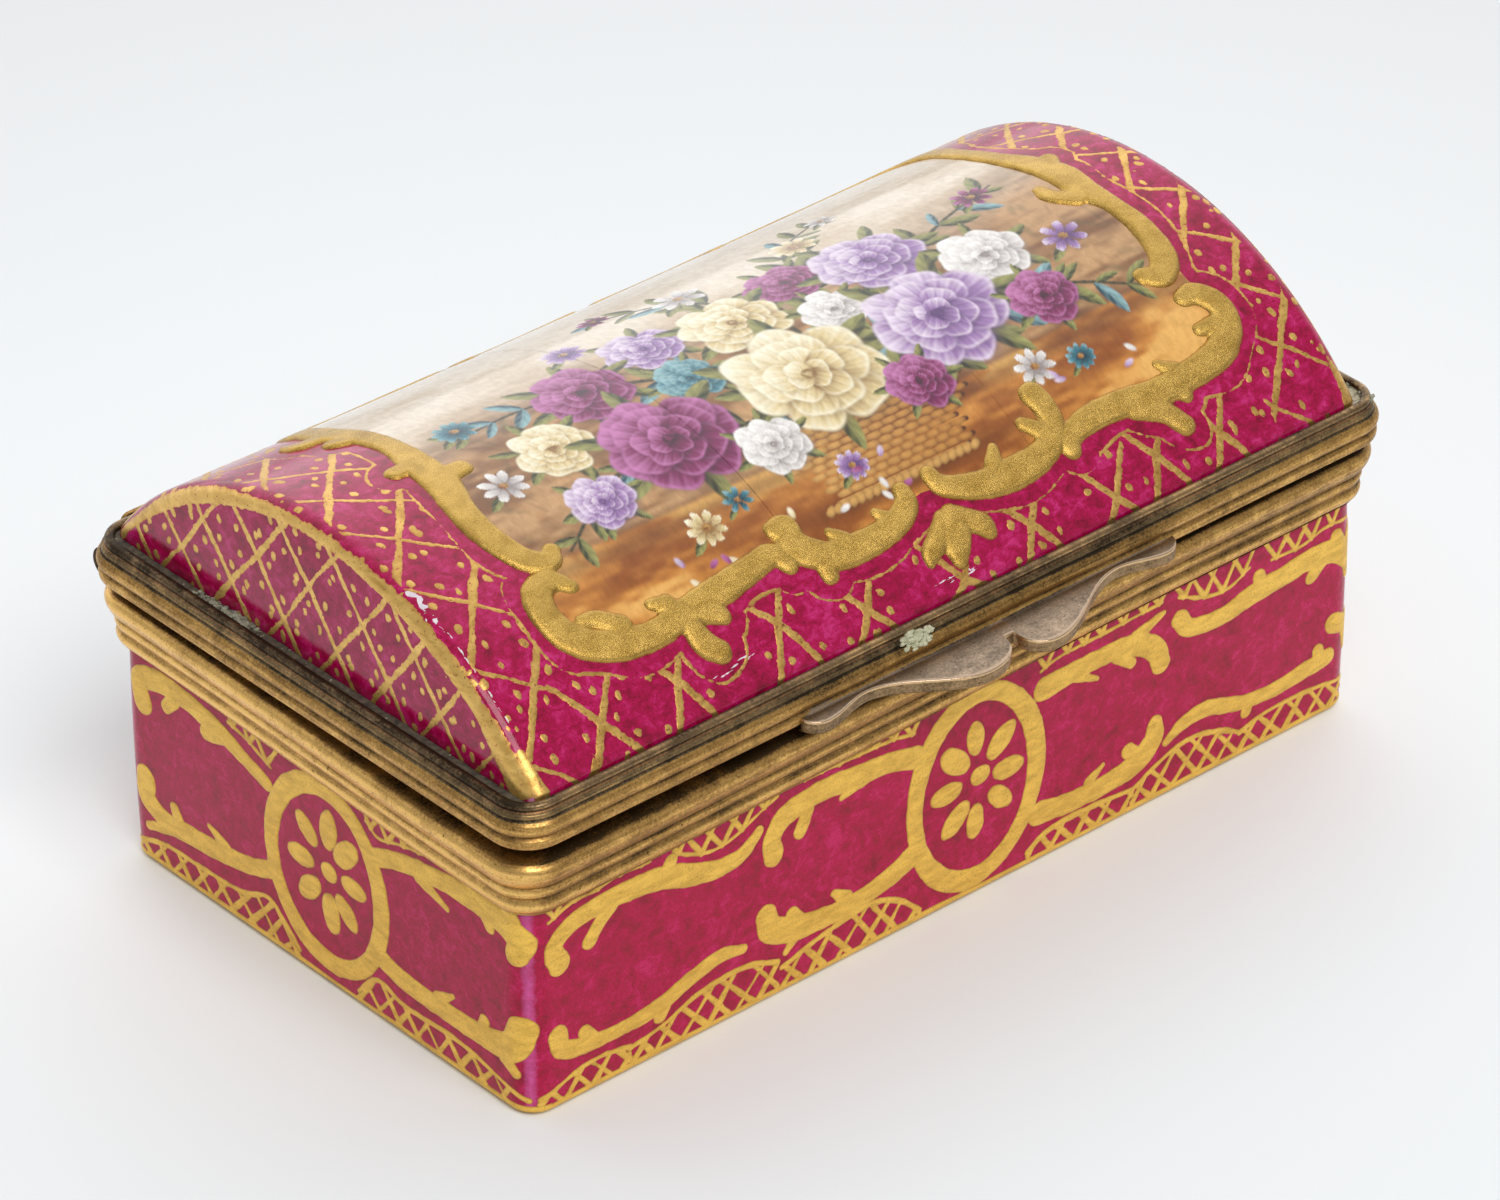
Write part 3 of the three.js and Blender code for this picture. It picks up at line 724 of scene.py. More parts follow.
FRONT_SCROLLS = [
    [(-44.5, 14.7, 1.2), (-45, 16.6, 1), (-43.2, 18.1, 1), (-40, 18.6, 1.05), (-36, 18.5, 1.15),
     (-33, 18.1, 1.25), (-30, 17, 1.15), (-27, 16.3, 1), (-24.6, 16.5, 0.85), (-22.6, 18, 0.6)],
    [(-41.2, 15.5, 0.85), (-40.2, 16.8, 0.8), (-38.6, 18.2, 0.9)],
    [(-33, 18.1, 0.9), (-32.3, 19.4, 0.8)],
    [(-21, 14.8, 1.15), (-21.1, 16.6, 1.1), (-19.6, 18.2, 1.25), (-16, 18.9, 1.15), (-11.5, 18.6, 1.2),
     (-8, 18.3, 1.1), (-5, 17.6, 1.2)],
    [(-18, 15.9, 0.8), (-17.2, 17.6, 0.8)],
    [(-13.3, 17.2, 0.35), (-12, 17.7, 0.7), (-10, 18.3, 0.9)],
    [(-44.8, 7.6, 1.1), (-44.3, 6, 1), (-41.8, 5.2, 0.95), (-38, 5, 0.8), (-34, 5.3, 0.95), (-30, 6.6, 0.9),
     (-27, 7.3, 0.8), (-24.4, 6.8, 0.55)],
    [(-41.9, 6.6, 0.8), (-41, 5.4, 0.8)],
    [(-33.6, 4.3, 0.85), (-33.2, 5.2, 0.9)],
    [(-21.9, 9, 1.2), (-21.2, 7.3, 1.35), (-18.6, 6.2, 1.35), (-14, 5.7, 1.15), (-10, 6, 1.1), (-7, 6.8, 1.2),
     (-5, 7.7, 1.3)],
    [(-18.9, 7.9, 0.75), (-18, 6.5, 0.9)],
    [(-14.2, 7.8, 0.45), (-12.9, 6.7, 0.9)],
    [(-19.6, 4.2, 0.45), (-18.5, 5.4, 0.7)],
    [(10, 18, 1.3), (13.5, 18.2, 1.15), (17.5, 18.3, 1.05), (21, 17.8, 1.2), (23.3, 16.2, 1.2),
     (23.9, 14.6, 1.15)],
    [(20.8, 18.5, 0.9), (24.2, 19.7, 0.35)],
    [(13.8, 17.6, 0.7), (16.3, 16.3, 0.3)],
    [(18.6, 17.6, 0.8), (20.4, 16.1, 0.6)],
    [(26.1, 18.2, 1), (27.4, 16.8, 1), (31, 16.3, 1), (35, 17, 1.2), (38, 17.2, 1.15), (42, 17.6, 1.2),
     (45, 17.3, 1.3), (46.8, 15.8, 1.1), (47.3, 14.4, 1)],
    [(35.7, 18.5, 0.8), (35.9, 17.4, 1)],
    [(42.2, 15.7, 0.8), (43.6, 17, 0.9)],
    [(45.2, 18.7, 0.8), (45.6, 17.6, 1)],
    [(9.6, 5.2, 1.3), (13.5, 4.7, 1.15), (18, 4.7, 1.2), (21.2, 5.3, 1.4), (23.2, 6.8, 1.3), (23.4, 8.4, 1)],
    [(20.2, 7, 0.85), (21.4, 5.8, 0.9)],
    [(17.2, 6.9, 0.35), (15.6, 5.8, 0.7)],
    [(24.8, 5.9, 0.5), (27, 7, 0.85), (30, 7.2, 0.95), (34, 6, 0.85), (38, 5.6, 0.9), (42, 6, 1),
     (44.6, 6.2, 1)],
    [(34.7, 4.8, 0.75), (34.9, 5.8, 0.8)],
    [(43.4, 7.4, 0.75), (43.6, 6.2, 0.9)],
    [(45.2, 9.6, 1.1), (46.9, 8.6, 1), (47.6, 6.4, 0.9)],
]
FRONT_HATCH = [
    [(-46.5, 1.6), (-43, 2.9), (-40, 3.2), (-37, 2.7)],
    [(-37, 2.5), (-33.5, 3.1), (-29, 4.6), (-24, 4.8), (-20.5, 3.6)],
    [(-20, 2.8), (-15, 4.1), (-10, 4.7), (-6.8, 3.6), (-4.2, 1.4)],
    [(8.4, 1.6), (11, 2.9), (16, 3), (21, 2.6)],
    [(21, 2.6), (25, 4.4), (28.5, 4.9), (32, 3.9), (34, 2.8)],
    [(34, 2.8), (37.5, 3.6), (43, 3.5), (47.5, 2.8)],
]
FRONT_UPPER = [
    [(-45.5, 19.3), (-43, 20.2), (-40.5, 20.2), (-38, 20.6), (-34.5, 20.4)],
    [(-32, 20.3), (-30.6, 19.3), (-28, 18.4), (-25.5, 18.6), (-22.5, 19.8), (-20.5, 20.6)],
    [(-18, 20.9), (-13, 20.7), (-8, 20.5), (-5, 20)],
    [(9.6, 19.9), (12, 20.5), (17, 20.6), (24, 20.8)],
    [(26, 20.5), (29, 19.2), (32, 18.9), (34.5, 19.9)],
    [(37.2, 19.6), (41, 19.5), (44, 20.2), (47, 19.9)],
]
END_SCROLLS = [
    [(-24, 16.9, 1.35), (-24.5, 18.9, 1.25), (-22, 20, 1.2), (-18, 20, 1.1), (-14, 19.3, 1.1),
     (-10, 18.1, 0.9), (-6.8, 17, 0.85)],
    [(-20.7, 17.9, 0.75), (-19.6, 19.2, 0.9)],
    [(-15.2, 18, 0.8), (-13, 18.7, 0.9)],
    [(-24.2, 8.8, 1.45), (-24.2, 7, 1.35), (-21.8, 5.7, 1.15), (-18, 5.9, 1.15), (-14, 6.3, 1.1), (-10, 7, 1),
     (-6.6, 8.2, 0.95)],
    [(-20.2, 7.6, 0.75), (-19.6, 6.3, 0.9)],
    [(-15.3, 8.3, 0.4), (-13, 7.2, 0.8)],
    [(-24.2, 3.9, 0.5), (-20.5, 5.2, 0.7)],
    [(7.6, 16.9, 0.95), (11, 18.1, 1), (16, 19, 1.05), (20, 19.2, 1.2), (24, 19, 1.35), (26.2, 17.8, 1.3),
     (25.8, 16.3, 1.15)],
    [(25, 20.5, 0.8), (25.4, 19.4, 0.9)],
    [(22.7, 17.6, 0.7), (22, 18.6, 0.8)],
    [(13.5, 17.9, 0.8), (17.2, 16.6, 0.35)],
    [(7.2, 7, 1.2), (11, 6, 1.15), (16, 5.8, 1.15), (21, 5.9, 1.25), (24.8, 6.6, 1.5), (26.1, 8.8, 1.45)],
    [(21.7, 7.6, 0.7), (21.3, 6.4, 0.9)],
    [(17.6, 7.9, 0.35), (15.6, 6.6, 0.8)],
    [(25.4, 4.2, 0.6), (24.2, 5.2, 0.9)],
]
END_HATCH = [
    [(-26.5, 1.4), (-22, 2.9), (-16, 3.2), (-11, 3.6), (-7.5, 4.9), (-5.2, 3.4), (-3.4, 1.6)],
    [(4.6, 1.5), (7.4, 4.1), (11, 3.3), (18, 3.5), (24, 2.4), (26.5, 1.6)],
]
END_UPPER = [
    [(-12, 20.7), (-9.5, 20.2), (-6.2, 18.9)],
    [(6.6, 20), (8.3, 19.1), (11.5, 20), (15, 20.6), (19, 20.9)],
]
# The patterns of a long side and of an end, with the middle and half axes of their ovals
TRAY_PATTERNS = [(FRONT_SCROLLS, FRONT_HATCH, FRONT_UPPER, (2.1, 11.4), (7.1, 9.4)),
                 (END_SCROLLS, END_HATCH, END_UPPER, (0.9, 11.45), (7.4, 8.9))]


def build_tray_gold():
    for turn, side in enumerate(("front", "right", "back", "left")):
        scrolls, hatch, upper, (u, v), reach = TRAY_PATTERNS[turn % 2]
        if side in ("right", "back"):
            scrolls = mirrored(scrolls)
            hatch, upper = ([line[::-1] for line in mirrored(group)] for group in (hatch, upper))
            u = -u
        half = tray_half[turn % 2] + 1.2
        canvas = Canvas((-half, half), (0, PAINT_TOP), BAND_STEP)
        seed = 40 + turn
        for stroke in scrolls:
            canvas.stroke(stroke)
        for order, line in enumerate(hatch):
            crosshatch(canvas, line, seed * 10 + order)
        hang_hatch(canvas, upper, seed + 5)
        # The oval's ground stays clear of strokes before its band and flower are drawn
        canvas.keep_inside((np.hypot((canvas.U - u) / reach[0], (canvas.V - v) / reach[1]) - 1) * reach[0])
        canvas.hoop(u, v, *reach, 1.08)
        petal_ring(canvas, u + 0.2, v + 0.7, seed)
        canvas.roughen(seed, 0.06, 0.9)
        canvas.add(1.0 + 0.14 * waves(seed + 9, canvas.U, 31) - canvas.V)
        lay(f"painted_gold_{side}", canvas, tray_surface(turn), flat_paint(PAINT_THICKNESS, 0.5),
            painted_gold, "base")


# The porcelain lid

def build_lid():
    steps = LID_RADIUS * (1 - np.sin(np.linspace(0, math.pi / 2, 9)))
    low, high = lid_shift - lid_half[0], lid_shift + lid_half[0]
    places = np.unique(np.round(np.concatenate(
        [high - steps, low + steps, np.linspace(low + LID_RADIUS, high - LID_RADIUS, 95)]), 5))
    rows = [arch.row(x, round_over(lid_half[0] - abs(x - lid_shift), LID_RADIUS)) for x in places]
    inner_half = lid_half - LID_WALL
    inner_spring = lid_spring - LID_WALL / 2
    hollow = Arch(inner_half, inner_spring, lid_peak - LID_WALL - inner_spring)
    for share in np.linspace(-1, 1, len(places)):
        inset = round_over(inner_half[0] - abs(share) * inner_half[0], LID_RADIUS)
        rows.append(hollow.row(lid_shift + share * inner_half[0], inset))
    points = np.concatenate(rows)
    grid = np.arange(len(points)).reshape(2, len(places), -1)
    outer, inner = grid
    corners = [grid[:, :-1, :-1], grid[:, :-1, 1:], grid[:, 1:, 1:], grid[:, 1:, :-1]]
    sheets = np.stack(corners, -1).reshape(2, -1, 4)
    loops = np.concatenate([grid[:, :, 0], grid[:, ::-1, -1]], 1)
    after = np.roll(loops, -1, 1)
    skins = [sheets[0][:, ::-1], outer[:1], outer[-1:, ::-1]]
    lining = [sheets[1], inner[:1, ::-1], inner[-1:], np.stack([loops[0], loops[1], after[1], after[0]], 1)]
    kinds = np.repeat([0, 1], [sum(map(len, skins)), sum(map(len, lining))])
    # Rubbed glaze and a painted highlight along the lid's end edges, low down and mostly at the front
    from_end = lid_half[0] - np.abs(points[:, 0] - lid_shift)
    wear_and_sheen = 1.25 * np.exp(-((from_end - 0.40) / 0.24) ** 2) * (np.arange(len(points)) < outer.size)
    wear_and_sheen = wear_and_sheen * smoothstep((lid_peak - 1 - points[:, 2]) / 5) * np.where(points[:, 1] > 0, 0.5, 1)
    make_mesh("porcelain_lid", points, skins + lining, [claret_lid, white_inside], "lid",
              kinds, {"wear_and_sheen": wear_and_sheen}, replaces=["lid_body"])


# Raised and painted gold on the lid, drawn over (x, place over the arch)

LID_FRAME = [
    [(-33.4, -16.9, 0.7), (-34.6, -15.8, 1), (-36.4, -16.3, 1.25), (-37.2, -18.6, 1.3), (-36.3, -21.4, 1.4),
     (-33.4, -23.3, 1.35), (-29.5, -23.9, 1.2), (-26, -23.4, 1.2), (-22, -22.9, 1.3), (-18, -22.3, 1.15),
     (-15, -21.9, 1), (-14.2, -23.4, 0.8)],
    [(-34.6, -20.2, 0.5), (-33.2, -20.6, 0.75), (-31.6, -22, 1)],
    [(-28, -21.4, 0.5), (-26.6, -22, 0.9)],
    [(-25.8, -24.2, 0.9), (-25.5, -26.4, 1.15), (-24.6, -27.6, 1.05)],
    [(-24, -24, 0.9), (-22.6, -24.9, 0.8)],
    [(-13.4, -20, 0.9), (-12.2, -20.1, 1), (-12.6, -22, 1.4), (-10.4, -24.1, 1.35), (-6.8, -24.6, 1.3),
     (-3, -24.2, 1.15), (-0.7, -23, 1), (-0.3, -21.7, 0.8)],
    [(-11.2, -24.4, 0.8), (-11.2, -25.7, 0.8)],
    [(-8.9, -22.3, 0.45), (-8.2, -23.4, 0.9)],
    [(-3.8, -22.5, 0.45), (-3.2, -23.4, 0.8)],
    [(3, -21.4, 0.8), (3.6, -22.9, 1), (7, -24.3, 1.25), (11, -24.6, 1.4), (14.6, -24, 1.2),
     (16.7, -22.2, 1.05), (17.1, -20.3, 1.15), (16.9, -18.9, 1.2)],
    [(10.2, -21.7, 0.4), (9.2, -23.2, 0.9)],
    [(14.2, -21, 0.7), (15.4, -22.3, 0.9)],
    [(17, -25, 0.85), (17.4, -24, 0.95), (20, -23.2, 1.15), (24, -23.2, 1.25), (28, -23.7, 1.25),
     (32, -23.6, 1.25), (36, -22.9, 1.35), (38.4, -21, 1.3), (38.8, -18.8, 1.2), (37.6, -17.1, 1.1),
     (36.3, -17, 0.85)],
    [(29.6, -21.4, 0.4), (30.8, -22.7, 0.9)],
    [(35.6, -20.3, 0.6), (37.2, -20.5, 0.9)],
    [(24.8, -24.2, 0.9), (27.4, -25.6, 0.95), (28.7, -27.4, 0.95)],
    [(30.4, -25, 0.7), (29.6, -24.2, 0.8)],
    [(34.7, -13.4, 0.9), (36.2, -14.1, 1.15), (37.9, -12.2, 1.25), (38.6, -8.4, 1.1), (38.5, -4.8, 1),
     (38.1, -1.8, 1.4), (38.4, 1.5, 1.5), (38, 5, 1.3), (37.3, 9, 0.95), (37.2, 14, 0.9), (37.6, 17.8, 1.1),
     (36.8, 22.2, 1.3), (34, 25.6, 1.3)],
    [(36.6, -2.4, 0.9), (35.2, -0.6, 0.85), (35.2, 0.8, 0.6)],
    [(38.8, 3.4, 1), (39.7, 4.6, 0.85)],
    [(-32.4, -13.2, 0.7), (-33.6, -14, 1), (-35.4, -12.6, 1.2), (-36.3, -9, 1.3), (-36, -5.4, 1.3),
     (-35, -2, 1.5), (-34.6, 1.4, 1.5), (-34, 5.5, 1.1), (-34, 9.6, 1.15), (-34.6, 13.6, 1.3),
     (-34.2, 17.6, 1.1), (-33.4, 22, 1.2), (-30.8, 25.4, 1.3)],
    [(-33.8, -1, 1.1), (-32.2, -0.9, 0.95)],
    [(-35.6, 1.9, 0.9), (-36.9, 1.9, 0.9)],
    [(-35, 10.6, 0.9), (-36.3, 11.3, 0.85)],
    [(-35.8, 14.2, 0.95), (-37.6, 14.4, 0.9), (-38.2, 15.6, 0.6)],
    [(-30.8, 25.4, 1.3), (-26, 26.6, 1.2), (-21.5, 26, 1.2), (-17, 25.4, 1.1), (-14.6, 26.3, 0.8)],
    [(-26.4, 26.9, 0.9), (-25.8, 28.6, 1.1), (-25, 29.6, 0.9)],
    [(-12.8, 24, 1), (-12.4, 25.6, 1.3), (-9.4, 27.2, 1.3), (-4.5, 27.4, 1.2), (-0.9, 26, 0.95),
     (-0.5, 25, 0.75)],
    [(-10.8, 27.8, 0.8), (-11.2, 28.8, 0.7)],
    [(3, 25, 0.8), (3.8, 26.2, 1), (8, 27.4, 1.3), (12.6, 27.4, 1.3), (15.6, 26, 1.1), (16.4, 25, 1.1),
     (16, 24.4, 1)],
    [(16.8, 27.4, 0.8), (19, 26.5, 1.1), (24, 26.2, 1.25), (29, 26.6, 1.25), (34, 25.6, 1.3)],
    [(25.4, 27.2, 0.9), (27.6, 28.6, 0.95), (28.6, 29.5, 0.8)],
]
LID_SPRIG = [
    [(2.7, -25.4, 0.9), (2.2, -26.8, 1.5), (1.6, -28.2, 1.3), (1.1, -29.5, 0.75)],
    [(1.8, -25.6, 0.9), (0.8, -26.5, 1), (-0.5, -27.4, 1), (-1.3, -27.9, 0.85), (-1.7, -28.7, 0.4)],
    [(3.3, -25.8, 0.9), (4.2, -26.8, 1.1), (4.9, -27.5, 1.1), (5.2, -28.3, 0.75)],
]
RESERVE = [
    (-35.2, -22), (-30, -23.6), (-22, -22.9), (-13.6, -22.2), (-10, -24), (-5, -24.3), (1.2, -22.6), (6, -24),
    (12, -24.4), (17.6, -22.6), (24, -23.2), (32, -23.6), (38, -21), (38, -15.4), (38.3, -8), (38.1, -1),
    (38, 5), (37.2, 12), (37.4, 18), (34.4, 25.2), (26, 26.4), (18, 26.8), (12, 27.2), (2, 26), (-5, 27.2),
    (-12.5, 25.8), (-20, 26), (-27, 26.4), (-32.6, 23.4), (-34.3, 16), (-34, 8), (-34.8, 1), (-35.8, -6),
    (-35, -13), (-36.6, -18),
]
reserve_line = curve_through(RESERVE + RESERVE[:3], 4)[4:-5]
LID_PAINT_STEP = 0.125
FRAME_WIDTH = 1.08


def polygon_field(canvas, line):
    """Distance to a closed outline, positive inside."""
    nearest = np.full(canvas.U.shape, 1e9)
    inside = np.zeros(canvas.U.shape, bool)
    for a, b in zip(line, np.roll(line, -1, 0)):
        nearest = np.minimum(nearest, segment(canvas.U, canvas.V, a, b)[1])
        at = a[0] + (canvas.V - a[1]) * (b[0] - a[0]) / np.where(b[1] == a[1], 1e-9, b[1] - a[1])
        inside ^= ((a[1] > canvas.V) != (b[1] > canvas.V)) & (canvas.U < at)
    return np.where(inside, nearest, -nearest)


def build_lid_frame():
    canvas = Canvas((-41, 43), (-31.5, 31.5), LID_PAINT_STEP)
    for stroke in LID_FRAME:
        canvas.stroke([(u, v, half * FRAME_WIDTH) for u, v, half in stroke])
    for stroke in LID_SPRIG:
        canvas.stroke(stroke)
    canvas.soften(0.25)
    canvas.roughen(71, 0.05, 0.8)
    lay("raised_gold_frame", canvas, lid_surface, raised_paint, raised_gold)


def lattice(canvas, seed, pitch, lean, widths):
    """Two families of hand-drawn lines over the whole canvas."""
    draw = np.random.default_rng(seed)
    tall = canvas.v[-1] - canvas.v[0]
    share = np.linspace(0, 1, 13)
    lines = []
    for direction, width in zip((-1, 1), widths):
        start = canvas.u[0] - tall / lean
        while start < canvas.u[-1] + tall / lean:
            tilt = lean * draw.uniform(0.94, 1.06)
            sway = 0.22 * waves(draw.integers(1e6), share, 1, 4)
            u = start + direction * (share - 0.5) * tall / tilt + sway
            half = width * draw.uniform(0.8, 1.15) * (1 + 0.25 * waves(draw.integers(1e6), share, 0.4, 4))
            lines.append(np.column_stack([u, canvas.v[0] + share * tall, half]))
            canvas.stroke(lines[-1], 0.6)
            start += pitch * draw.uniform(0.92, 1.08)
    return lines


def dot_lines(canvas, lines, seed, gap, away=1.15):
    """Small drops beside drawn lines, left out where another line passes."""
    draw = np.random.default_rng(seed)
    drops = []
    for line in lines:
        length = np.concatenate([[0], np.cumsum(np.hypot(*np.diff(line[:, :2], axis=0).T))])
        for side in (-1, 1):
            at = draw.uniform(0, gap)
            while at < length[-1]:
                (u, ahead_u), (v, ahead_v) = (np.interp([at, at + 0.5], length, line[:, axis])
                                              for axis in (0, 1))
                heading = math.atan2(ahead_v - v, ahead_u - u)
                drops.append((u - side * away * math.sin(heading), v + side * away * math.cos(heading)))
                at += gap * draw.uniform(0.85, 1.25)
    lined = canvas.field.copy()
    for u, v in drops:
        i = int(round((u - canvas.u[0]) / canvas.step))
        j = int(round((v - canvas.v[0]) / canvas.step))
        if 0 <= i < len(canvas.u) and 0 <= j < len(canvas.v) and lined[i, j] < -0.62:
            canvas.oval(u, v, 0.48 * draw.uniform(0.8, 1.15), 0.35 * draw.uniform(0.85, 1.15),
                        90 + draw.uniform(-25, 25), 0.8)


def gold_dust(canvas, seed, near):
    """Stray specks of gold, thickest where near is large and none where it is below zero."""
    draw = np.random.default_rng(seed)
    for _ in range(1400):
        u = draw.uniform(canvas.u[0], canvas.u[-1])
        v = draw.uniform(canvas.v[0], canvas.v[-1])
        if draw.uniform(0, 6) < near(u, v):
            canvas.oval(u, v, draw.uniform(0.13, 0.24), draw.uniform(0.12, 0.18), draw.uniform(0, 180), 0.5)


def draw_crossings(canvas, places, seed):
    """Crossed strokes that rise from the lid's edge, each knot at (u, v) with four legs."""
    draw = np.random.default_rng(seed)
    legs = []
    for u, v in places:
        side = 1 if v > 0 else -1
        for lean in (-1, 1):
            foot = (u + lean * draw.uniform(2.2, 3.0), side * 33.2, 0.34)
            tip = (u - lean * draw.uniform(2.4, 3.4), v - side * draw.uniform(3.6, 4.6), 0.27)
            knot = [(u + lean * 0.12, v + side * 0.3, 0.42), (u - lean * 0.1, v, 0.40)]
            legs.append(np.array([foot, *knot, tip]))
            canvas.stroke(legs[-1], 0.6)
    return legs


def draw_end_lattice(canvas, middle, thick, thin, seed):
    """Lines leaning two ways across one end of the lid's top, each placed by v where u is middle."""
    draw = np.random.default_rng(seed)
    lines = []
    along = np.linspace(-7, 7, 11)
    for places, slope, half in ((thick, 1.28, 0.37), (thin, -0.88, 0.24)):
        for place in places:
            sway = 0.22 * waves(draw.integers(1e6), along, 9, 3)
            width = half * (1 + 0.30 * waves(draw.integers(1e6), along, 5, 4))
            v = place + slope * draw.uniform(0.94, 1.06) * along + sway
            lines.append(np.column_stack([middle + along, v, width]))
            canvas.stroke(lines[-1], 0.6)
    return lines


LEFT_THICK = [-32.4, -22.4, -13.4, -3.6, 5.5, 14.6, 23.8, 32.6]
LEFT_THIN = [-33.6, -24.4, -15.9, -7.7, -0.4, 6.9, 15.2, 23.6, 31.4]
RIGHT_THICK = [-23.6, -16.6, -9.4, -2.1, 6.3, 13.6, 20.6, 27.4]
RIGHT_THIN = [-33.8, -25.8, -19.2, -12.5, -5.3, 2.2, 9.2, 16.2, 23.4, 30.4]
LID_KNOTS = [(-38.1, -28.6), (-29.6, -28.2), (-18.1, -27.4), (-9.6, -29.8), (0.7, -31.0),
             (9.4, -29.2), (18.6, -30.4), (24.4, -28.6), (31.6, -29.2)]
FRAME_CLEAR = 1.6               # how far the lattice stays off the raised frame
LATTICE_THICKNESS = 0.02


def build_lid_lattice():
    edge = lid_half[0] - 0.6
    area = ((lid_shift - edge, lid_shift + edge), (-32.6, 32.6), LID_PAINT_STEP)
    framed = Canvas(*area, 6.0)
    for stroke in LID_FRAME:
        framed.stroke(stroke)
    framed.add(polygon_field(framed, reserve_line))
    canvas = Canvas(*area)
    side_lines = draw_end_lattice(canvas, -41, LEFT_THICK, LEFT_THIN, 81)
    side_lines += draw_end_lattice(canvas, 43, RIGHT_THICK, RIGHT_THIN, 80)
    canvas.keep_inside(lid_half[0] - np.abs(canvas.U - lid_shift) - 1.3 - 0.3 * np.sin(canvas.V * 0.8))
    away = -framed.field - FRAME_CLEAR - 0.4 * np.sin(canvas.U * 0.75) * np.cos(canvas.V * 0.5)
    shorter = np.where(canvas.U < 0, 3.0, -1.8)
    on_side = np.abs(canvas.U - 1) - 38.2 - smoothstep((np.abs(canvas.V) - 20) / 4) * shorter
    canvas.keep_inside(on_side)
    knots = LID_KNOTS + [(-u, 0.4 - v) for u, v in LID_KNOTS + [(38.0, -28.6)]]
    legs = draw_crossings(canvas, knots, 82)
    # Daubs at the four corners
    draw = np.random.default_rng(89)
    for side in (-1, 1):
        for end in (-1, 1):
            at = lid_shift + end * (lid_half[0] - 1.1)
            canvas.stroke([(at, side * 33.4, 1.2), (at + 0.2 * end, side * 30.6, 0.8),
                           (at, side * 28.2, 0.35)])
            for _ in range(7):
                canvas.oval(at - end * draw.uniform(-0.2, 0.9), side * draw.uniform(25, 30), 0.30, 0.20, 90)
    dot_lines(canvas, side_lines, 84, 3.2)
    undotted = canvas.field.copy()
    dot_lines(canvas, legs, 85, 3.9)
    canvas.field = np.where(on_side > 0, undotted, canvas.field)
    canvas.keep_inside(away)
    # A fine line round the frame
    points = np.stack([canvas.U, canvas.V], -1)
    canvas.add(0.15 + 0.12 * value_noise(86, points, 3.0) - np.abs(away))
    gold_dust(canvas, 87, lambda u, v: 4.6 - 0.13 * np.abs(v) - (lid_half[0] - np.abs(u - lid_shift)))
    canvas.roughen(83, 0.08, 0.42)
    canvas.roughen(88, 0.04, 0.26)
    lay("painted_gold_lid", canvas, lid_surface, flat_paint(LATTICE_THICKNESS, 0.22, 0.008), lattice_gold)


def end_dust(y, z):
    depth = arch.radius - math.hypot(y, z - arch.centre)
    return 2.2 - depth if depth > 0.3 else -1


def build_lid_ends():
    for direction, side in ((-1, "left"), (1, "right")):
        canvas = Canvas((-lid_half[1], lid_half[1]), (lid_spring - 2, lid_peak), LID_PAINT_STEP)
        depth = arch.radius - np.hypot(canvas.U, canvas.V - arch.centre)
        dot_lines(canvas, lattice(canvas, 91 + direction, 6.8, 1.3, (0.30, 0.36)), 93 + direction, 2.5)
        canvas.keep_inside(depth - 1.1)
        # A band along the arch, broader at its front
        at_front = smoothstep((-canvas.U - 20) / 6)
        centre = 1.0 + 0.10 * waves(95 + direction, canvas.U, 40) + 0.45 * at_front
        half = 0.50 + 0.16 * smoothstep((np.abs(canvas.U) - 4) / 10)
        half = half + 0.08 * waves(97 + direction, canvas.U, 23)
        half = half + 0.50 * at_front - 0.22 * smoothstep((canvas.U - 20) / 6)
        canvas.add(half - np.abs(depth - centre))
        gold_dust(canvas, 107 + direction, end_dust)
        canvas.roughen(99 + direction, 0.08, 0.42)
        canvas.roughen(103 + direction, 0.04, 0.26)
        canvas.keep_inside(depth - 0.15)
        lay(f"painted_gold_lid_{side}", canvas, lid_end_surface(direction),
            flat_paint(LATTICE_THICKNESS, 0.22, 0.008), end_gold_lit, flip=direction > 0)


# The painted reserve: a spray of garden flowers on a warm brown ground

def mix(first, second, share):
    share = np.asarray(share)[..., None]
    return np.asarray(first) * (1 - share) + np.asarray(second) * share


def from_srgb(*values):
    """The colour, or the colours, of values from 0 to 255."""
    value = np.array(values) / 255
    return np.where(value <= 0.04045, value / 12.92, ((value + 0.055) / 1.055) ** 2.4)


def around(u, v, reach_u, reach_v, angle):
    """The place on an oval at an angle in degrees."""
    a = math.radians(angle)
    return u + reach_u * math.cos(a), v + reach_v * math.sin(a)


